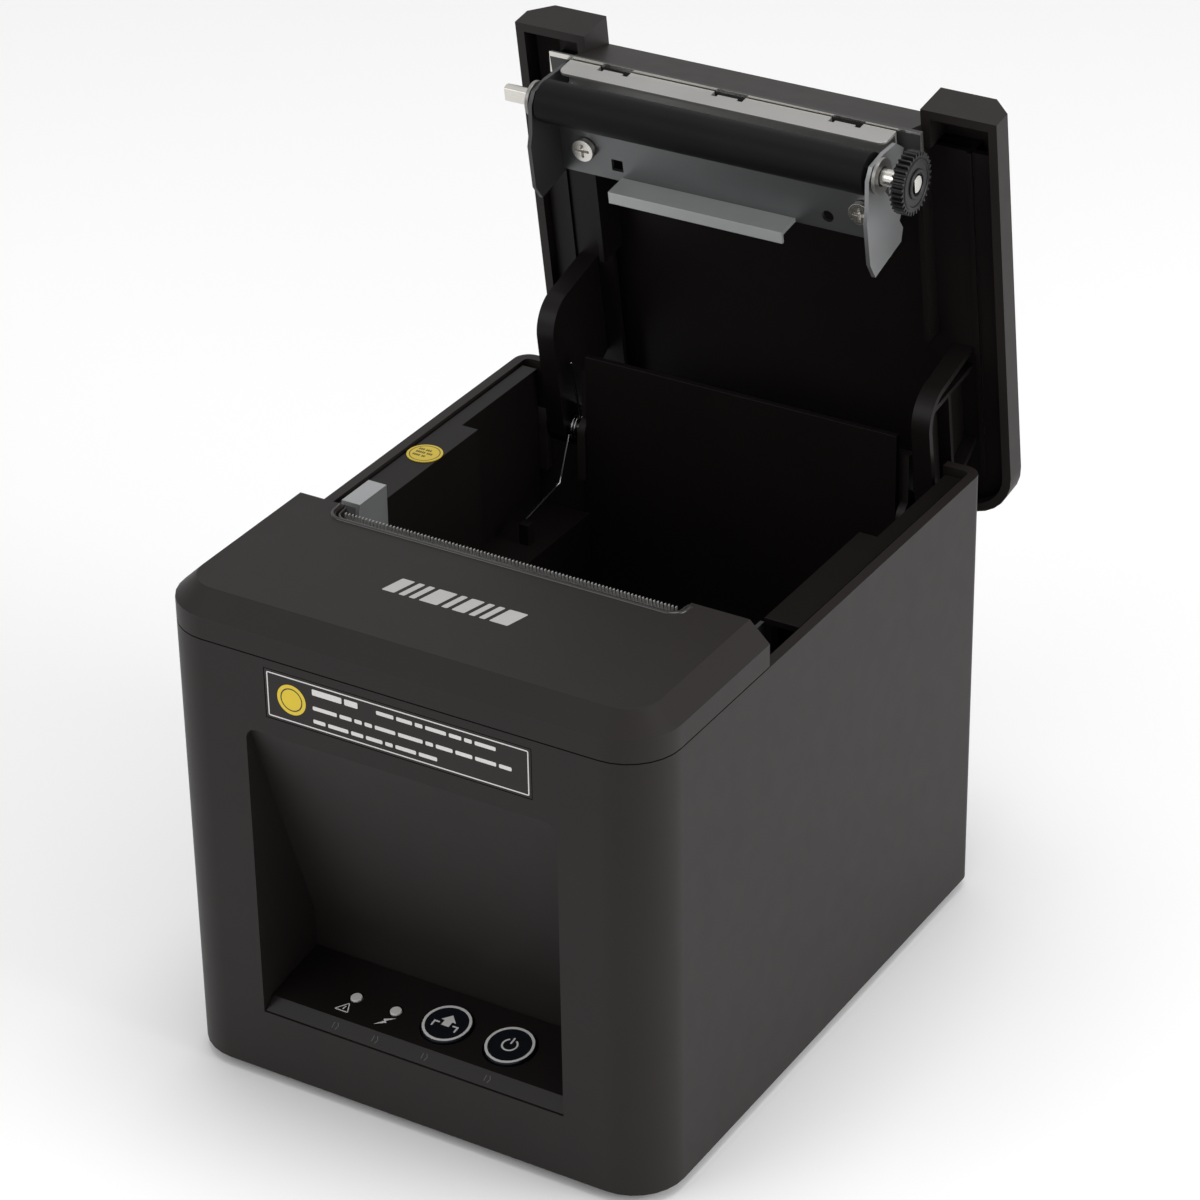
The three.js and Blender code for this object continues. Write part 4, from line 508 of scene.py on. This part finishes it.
def printed(name, node, shapes, spot, thick, material):
    """Thin raised ink on a node. A shape is one outline, or the two sides of a line or a
    loop; spot(u, v, w) gives the point at (u, v) and the height w above the surface."""
    mesh = bmesh.new()
    for shape in shapes:
        outline = isinstance(shape, list)
        around = outline or shape[0][0] is None
        sides = [[point for point in side if point] for side in ((shape,) if outline else shape)]
        low, high = (
            [[mesh.verts.new(spot(u, v, w)) for u, v in side] for side in sides]
            for w in (0, thick)
        )
        if outline:
            mesh.faces.new(high[0])
            mesh.faces.new(low[0][::-1])
            for i in range(len(low[0])):
                mesh.faces.new((low[0][i - 1], low[0][i], high[0][i], high[0][i - 1]))
            continue
        count = len(sides[0])
        for i in range(0 if around else 1, count):
            a, b = i - 1, i
            mesh.faces.new((high[0][a], high[0][b], high[1][b], high[1][a]))
            mesh.faces.new((low[1][a], low[1][b], low[0][b], low[0][a]))
            mesh.faces.new((low[0][a], low[0][b], high[0][b], high[0][a]))
            mesh.faces.new((high[1][a], high[1][b], low[1][b], low[1][a]))
        if not around:
            for end in (0, count - 1):
                mesh.faces.new((low[0][end], high[0][end], high[1][end], low[1][end]))
    piece = from_bmesh(name, mesh)
    piece.data.materials.append(MATERIALS[material])
    return place(piece, node)


def rounded_polygon(corners, radius, steps=5):
    """A polygon with each corner cut by a smooth curve."""
    points = []
    for i, corner in enumerate(corners):
        here = Vector(corner)
        before = (Vector(corners[i - 1]) - here).normalized() * radius + here
        after = (Vector(corners[(i + 1) % len(corners)]) - here).normalized() * radius + here
        for step in range(steps + 1):
            t = step / steps
            points.append(tuple(before.lerp(here, t).lerp(here.lerp(after, t), t)))
    return points


LABEL_EDGE = 0.7
LABEL_TEXT = 12.3
LABEL_GAP = 0.7
LABEL_SPOT = 6.8
# Each row of bars: its foot below the label's top, its start, its height and its bars.
LABEL_ROWS = (
    (3.2, 0.0, 1.5, (7.6, 3.4)),
    (3.1, 16.4, 0.95, (4.4, 4.0, 1.9, 5.2, 3.1, 1.9, 5.2)),
    (6.9, 0.0, 0.95, (6.2, 3.1, 1.9, 1.9, 5.2, 6.2, 1.9, 4.2, 4.2, 5.2, 3.1)),
    (10.2, 0.0, 0.95, (3.1, 5.2, 3.1, 4.2, 1.9, 5.2, 4.6)),
)


def rectangle(left, low, right, high):
    return [(left, low), (right, low), (right, high), (left, high)]


def add_label_print():
    """A plain frame, rows of bars and a round spot, with no lettering."""
    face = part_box("instruction_label")[0].y
    (left, _, low), (right, _, high) = (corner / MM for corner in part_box("instruction_label"))

    def spot(u, v, w):
        return Vector((u * MM, face - w * MM * 0.9, v * MM))

    frame_line = rounded_polygon(rectangle(left + LABEL_EDGE, low + LABEL_EDGE,
                                           right - LABEL_EDGE, high - LABEL_EDGE), 0.3, 2)
    shapes = [loop(frame_line, 0.28)]
    for drop, start, tall, bars in LABEL_ROWS:
        base = high - drop
        x = left + LABEL_TEXT + start
        for bar in bars:
            shapes.append(rounded_polygon(rectangle(x, base, x + bar, base + tall), 0.25, 2))
            x += bar + LABEL_GAP
    printed("label_rows", "instruction_label", shapes, spot, 0.018, "white_print")
    centre = (left + LABEL_SPOT, (low + high) / 2)
    printed("label_spot", "instruction_label", [disc(*centre, 3.7)], spot, 0.012, "yellow_print")
    printed("label_spot_ring", "instruction_label", [loop(disc(*centre, 2.7), 0.3)], spot, 0.019,
            "dark_print")


MARK_LEFT, MARK_FRONT, MARK_REAR = -17.6, 22.4, 28.6
MARK_LEAN = 1.5
MARK_GAP = 1.1
MARK_BARS = (3.2, 1.5, 1.5, 4.6, 1.5, 3.2, 1.5, 1.5, 4.6)


def add_cover_mark():
    """A row of slanted bars."""
    def spot(u, v, w):
        return at(u, v, COVER_TOP + w)

    shapes = []
    x = MARK_LEFT
    for width in MARK_BARS:
        corners = [(x, MARK_FRONT), (x + width, MARK_FRONT),
                   (x + width + MARK_LEAN, MARK_REAR), (x + MARK_LEAN, MARK_REAR)]
        shapes.append(rounded_polygon(corners, 0.35, 3))
        x += width + MARK_GAP
    printed("cover_mark", "front_cover", shapes, spot, 0.03, "mark_print")


SHELF_TILT = math.radians(9)
FEED_X, POWER_X, ERROR_X, POWER_LIGHT_X = 2.5, 19.0, -21.2, -10.6
SHELF_FRONT, SHELF_LOW = 3.1, 21.6
BUTTON_UP, BUTTON_RISE = 8.2, 0.7
RING_RADIUS, RING_WIDTH = 5.35, 0.62
SIGN_LINE = 0.42
SIGN_INK = 0.03


def on_shelf(raise_by):
    """Places on the control shelf: across, and up its slope from its front edge."""
    def spot(u, v, w):
        out = raise_by + w
        return at(u, SHELF_FRONT + v * math.cos(SHELF_TILT) - out * math.sin(SHELF_TILT),
                  SHELF_LOW + v * math.sin(SHELF_TILT) + out * math.cos(SHELF_TILT))
    return spot


def add_button_marks():
    cap = on_shelf(BUTTON_RISE)
    for name, x in (("feed_button", FEED_X), ("power_button", POWER_X)):
        ring = loop(disc(x, BUTTON_UP, RING_RADIUS, 56), RING_WIDTH)
        printed(name + "_ring", name, [ring], cap, 0.05, "white_print")
    x, y = POWER_X, BUTTON_UP
    printed("power_sign", "power_button",
            [line(arc(x, y, 1.75, 118, 422, 28), SIGN_LINE),
             line([(x, y + 0.4), (x, y + 2.3)], SIGN_LINE)],
            cap, SIGN_INK, "white_print")
    x = FEED_X
    arrow = [(x - 1.0, y - 0.9), (x + 1.0, y - 0.9), (x + 1.0, y + 0.7), (x + 1.9, y + 0.7),
             (x, y + 2.7), (x - 1.9, y + 0.7), (x - 1.0, y + 0.7)]
    tray = [line([(x + s * 1.7, y - 0.3), (x + s * 3.0, y - 0.3), (x + s * 3.0, y - 1.9)], 0.4)
            for s in (-1, 1)]
    printed("feed_sign", "feed_button", [arrow] + tray, cap, SIGN_INK, "white_print")


def add_shelf_marks():
    shelf = on_shelf(0)
    x = ERROR_X - 0.7
    triangle = rounded_polygon([(x - 1.9, 2.3), (x + 1.5, 2.3), (x + 0.3, 5.0)], 0.3, 3)
    bar = line([(x - 0.1, 2.8), (x + 0.1, 4.0)], 0.3)
    printed("error_light_sign", "control_panel", [loop(triangle, 0.26), bar], shelf, SIGN_INK,
            "white_print")
    x = POWER_LIGHT_X - 0.6
    bolt = [(x - 1.8, 1.7), (x + 0.7, 3.2), (x + 0.2, 3.6), (x + 2.0, 5.3), (x - 0.6, 4.0),
            (x - 0.1, 3.5)]
    printed("power_light_sign", "control_panel", [bolt], shelf, SIGN_INK, "white_print")

    def front_slope(u, v, w):
        run = 0.3 + v * 0.745
        return at(u, run - w * 0.68, 19.1 + v * 0.667 + w * 0.73)

    marks = []
    for x in (ERROR_X, POWER_LIGHT_X, FEED_X, POWER_X):
        marks.append(line([(x - 0.7, 1.2), (x - 0.5, 2.6)], 0.16))
        marks.append(line([(x + 0.2, 1.0), (x + 0.7, 1.9), (x + 0.3, 2.7)], 0.16))
    printed("lip_marks", "control_panel", marks, front_slope, SIGN_INK, "faint_print")


# Each row of small blocks: its height on the sticker and the blocks in each group.
STICKER_ROWS = ((1.5, (3, 3)), (0.1, (5, 3)), (-1.4, (4, 2)))


def add_sticker_print():
    low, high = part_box("inspection_sticker")
    middle = (low + high) / 2

    def spot(u, v, w):
        return Vector((middle.x + u * MM, middle.y + v * MM, high.z + w * MM))

    shapes = [loop(disc(0, 0, 3.6), 0.2)]
    for row, groups in STICKER_ROWS:
        x = -2.4
        for group in groups:
            for _ in range(group):
                shapes.append(rectangle(x, row - 0.4, x + 0.34, row + 0.4))
                x += 0.52
            x += 0.35
    printed("sticker_print", "inspection_sticker", shapes, spot, 0.02, "dark_print")


# ------------------------------------------------------------------ raised trim, small parts
def swept(name, points, radius, sides=10):
    """A round bar through the points, with domed ends."""
    mesh = bmesh.new()
    rings = []
    count = len(points)
    for i, point in enumerate(points):
        before = points[max(i - 1, 0)]
        after = points[min(i + 1, count - 1)]
        run = (after - before).normalized()
        side = run.cross(Vector((0, 0, 1)))
        if side.length < 0.1:
            side = run.cross(Vector((1, 0, 0)))
        side.normalize()
        up = side.cross(run)
        rings.append([
            mesh.verts.new(point + (side * math.cos(a) + up * math.sin(a)) * radius)
            for a in (2 * math.pi * k / sides for k in range(sides))
        ])
    for first, second in zip(rings, rings[1:]):
        for k in range(sides):
            mesh.faces.new((first[k - 1], first[k], second[k], second[k - 1]))
    for end, way in ((rings[0], points[0] - points[1]), (rings[-1], points[-1] - points[-2])):
        middle = sum((vert.co for vert in end), Vector()) / sides
        tip = mesh.verts.new(middle + way.normalized() * radius * 0.5)
        for k in range(sides):
            mesh.faces.new((end[k - 1], end[k], tip))
    piece = from_bmesh(name, mesh)
    smooth(piece, 60)
    return piece


EXIT_LEFT, EXIT_RIGHT, EXIT_FRONT, EXIT_CORNER = -46.2, 43.9, 43.9, 3.2
# Each bead: its name, its inset from the exit's edge, its depth, its radius and its tail.
EXIT_RIMS = (("exit_rim_outer", -0.1, 0.1, 0.5, 2.4), ("exit_rim_inner", 1.2, 0.75, 0.42, 2.0))
BALL_RADIUS, BALL_SQUASH = 0.9, 0.8


def add_exit_rim():
    """Two raised beads round the paper exit, the outer one ending in a small ball."""
    def path(inset, tail):
        left, right, front = EXIT_LEFT + inset, EXIT_RIGHT - inset, EXIT_FRONT + inset
        radius = EXIT_CORNER - inset * 0.5
        return ([(left - 0.2, front + radius + tail)]
                + arc(left + radius, front + radius, radius, 180, 270, 8)
                + arc(right - radius, front + radius, radius, 270, 352, 8)
                + [(right, front + radius + tail * 0.6)])

    for name, inset, drop, radius, tail in EXIT_RIMS:
        points = [at(u, v, COVER_TOP - drop) for u, v in path(inset, tail)]
        place(swept(name, points, radius * MM), "front_cover", "trim_plastic")
    ball = bmesh.new()
    centre = at(EXIT_RIGHT, 48.4, COVER_TOP - 0.25)
    bmesh.ops.create_icosphere(ball, subdivisions=3, radius=BALL_RADIUS * MM,
                               matrix=Matrix.Translation(centre))
    for vert in ball.verts:
        vert.co.z = centre.z + (vert.co.z - centre.z) * BALL_SQUASH
    piece = from_bmesh("exit_rim_ball", ball)
    smooth(piece, 80)
    place(piece, "front_cover")


def lathed(name, profile, centre, steps=48):
    """A ring or boss turned about an axis along X: the profile gives (x, radius) in mm."""
    mesh = bmesh.new()
    angles = [2 * math.pi * k / steps for k in range(steps)]
    rings = [
        [mesh.verts.new(centre + Vector((x, radius * math.cos(a), radius * math.sin(a))) * MM)
         for a in angles]
        for x, radius in profile
    ]
    for first, second in zip(rings, rings[1:]):
        for k in range(steps):
            mesh.faces.new((first[k - 1], first[k], second[k], second[k - 1]))
    mesh.faces.new(rings[0])
    mesh.faces.new(rings[-1])
    piece = from_bmesh(name, mesh)
    smooth(piece, 35)
    return piece


def add_blade_edge():
    """The ground edge of the fixed blade, bright along its front and its two ends: a strip of bright steel that is
    partly the real ground edge and partly a painted highlight of the lit edge.
    """
    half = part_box("fixed_blade")[1].x / MM - 0.1
    blade = [closed(corner.co) for corner in frame["nodes"]["fixed_blade"].data.vertices]
    front = min(point.y for point in blade)
    low = min(point.z for point in blade)
    turn = Matrix.Rotation(-OPEN_ANGLE, 3, "X")

    def spot(u, v, w):
        return turn @ (at(u, v, low - w) - HINGE) + HINGE

    points = [(-half, front + 5.2), (-half, front + 0.3), (half, front + 0.3),
              (half, front + 5.2)]
    printed("blade_edge", "fixed_blade", [line(points, 0.5)], spot, 0.05, "bright_steel")


# The hub's ring and the step inside the teeth, each as (x, radius) in mm.
HUB_RING = ((-0.3, 3.5), (0.25, 3.5), (0.45, 3.3), (0.45, 2.75), (0.3, 2.55), (-0.3, 2.55))
RIM_STEP = ((-0.3, 5.9), (0.12, 5.9), (0.22, 5.75), (0.22, 5.25), (0.1, 5.1), (-0.3, 5.1))


def add_gear_hub():
    centre = Vector((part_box("platen_gear")[1].x, PLATEN.y, PLATEN.z))
    place(lathed("gear_hub_ring", HUB_RING, centre), "platen_gear")
    place(lathed("gear_rim_step", RIM_STEP, centre), "platen_gear")


SPRING_WIRE = 0.3
SPRING_INSET = 0.35
SPRING_RADIUS = 3.1
SPRING_START = -160
SPRING_TURN = 2.75 * 360


def add_spring():
    """Torsion spring: a leg on the bay, coils round the hinge pin, a leg up the lid's arm."""
    low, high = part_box("lid_spring")
    first_x, last_x = low.x + SPRING_INSET * MM, high.x - SPRING_INSET * MM
    foot = Vector((first_x, HINGE.y - 23.5 * MM, low.z + SPRING_INSET * MM))
    knee = Vector((first_x, HINGE.y - 7.7 * MM, HINGE.z - 12.2 * MM))
    tip = Vector((last_x, HINGE.y - 5 * MM, HINGE.z + 20 * MM))

    def coil(share):
        angle = math.radians(SPRING_START + SPRING_TURN * share)
        return Vector((first_x + (last_x - first_x) * share,
                       HINGE.y + SPRING_RADIUS * MM * math.cos(angle),
                       HINGE.z + SPRING_RADIUS * MM * math.sin(angle)))

    points = [foot.lerp(knee, i / 6) for i in range(6)]
    points += [knee.lerp(coil(0), i / 6) for i in range(6)]
    points += [coil(i / 110) for i in range(111)]
    points += [coil(1).lerp(tip, i / 8) for i in range(1, 9)]
    spring = swept("lid_spring_wire", points, SPRING_WIRE * MM)
    spring.data.materials.append(MATERIALS["spring_steel"])
    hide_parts("lid_spring")
    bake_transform(spring)


MATERIALS = {
    name: surface(name, color, rough, metallic, **rest)
    for name, (color, rough, metallic, rest) in SURFACES.items()
}
add_camera()
add_studio()
finish_cad_nodes()
add_label_print()
add_cover_mark()
add_button_marks()
add_shelf_marks()
add_sticker_print()
add_exit_rim()
add_blade_edge()
add_gear_hub()
add_spring()
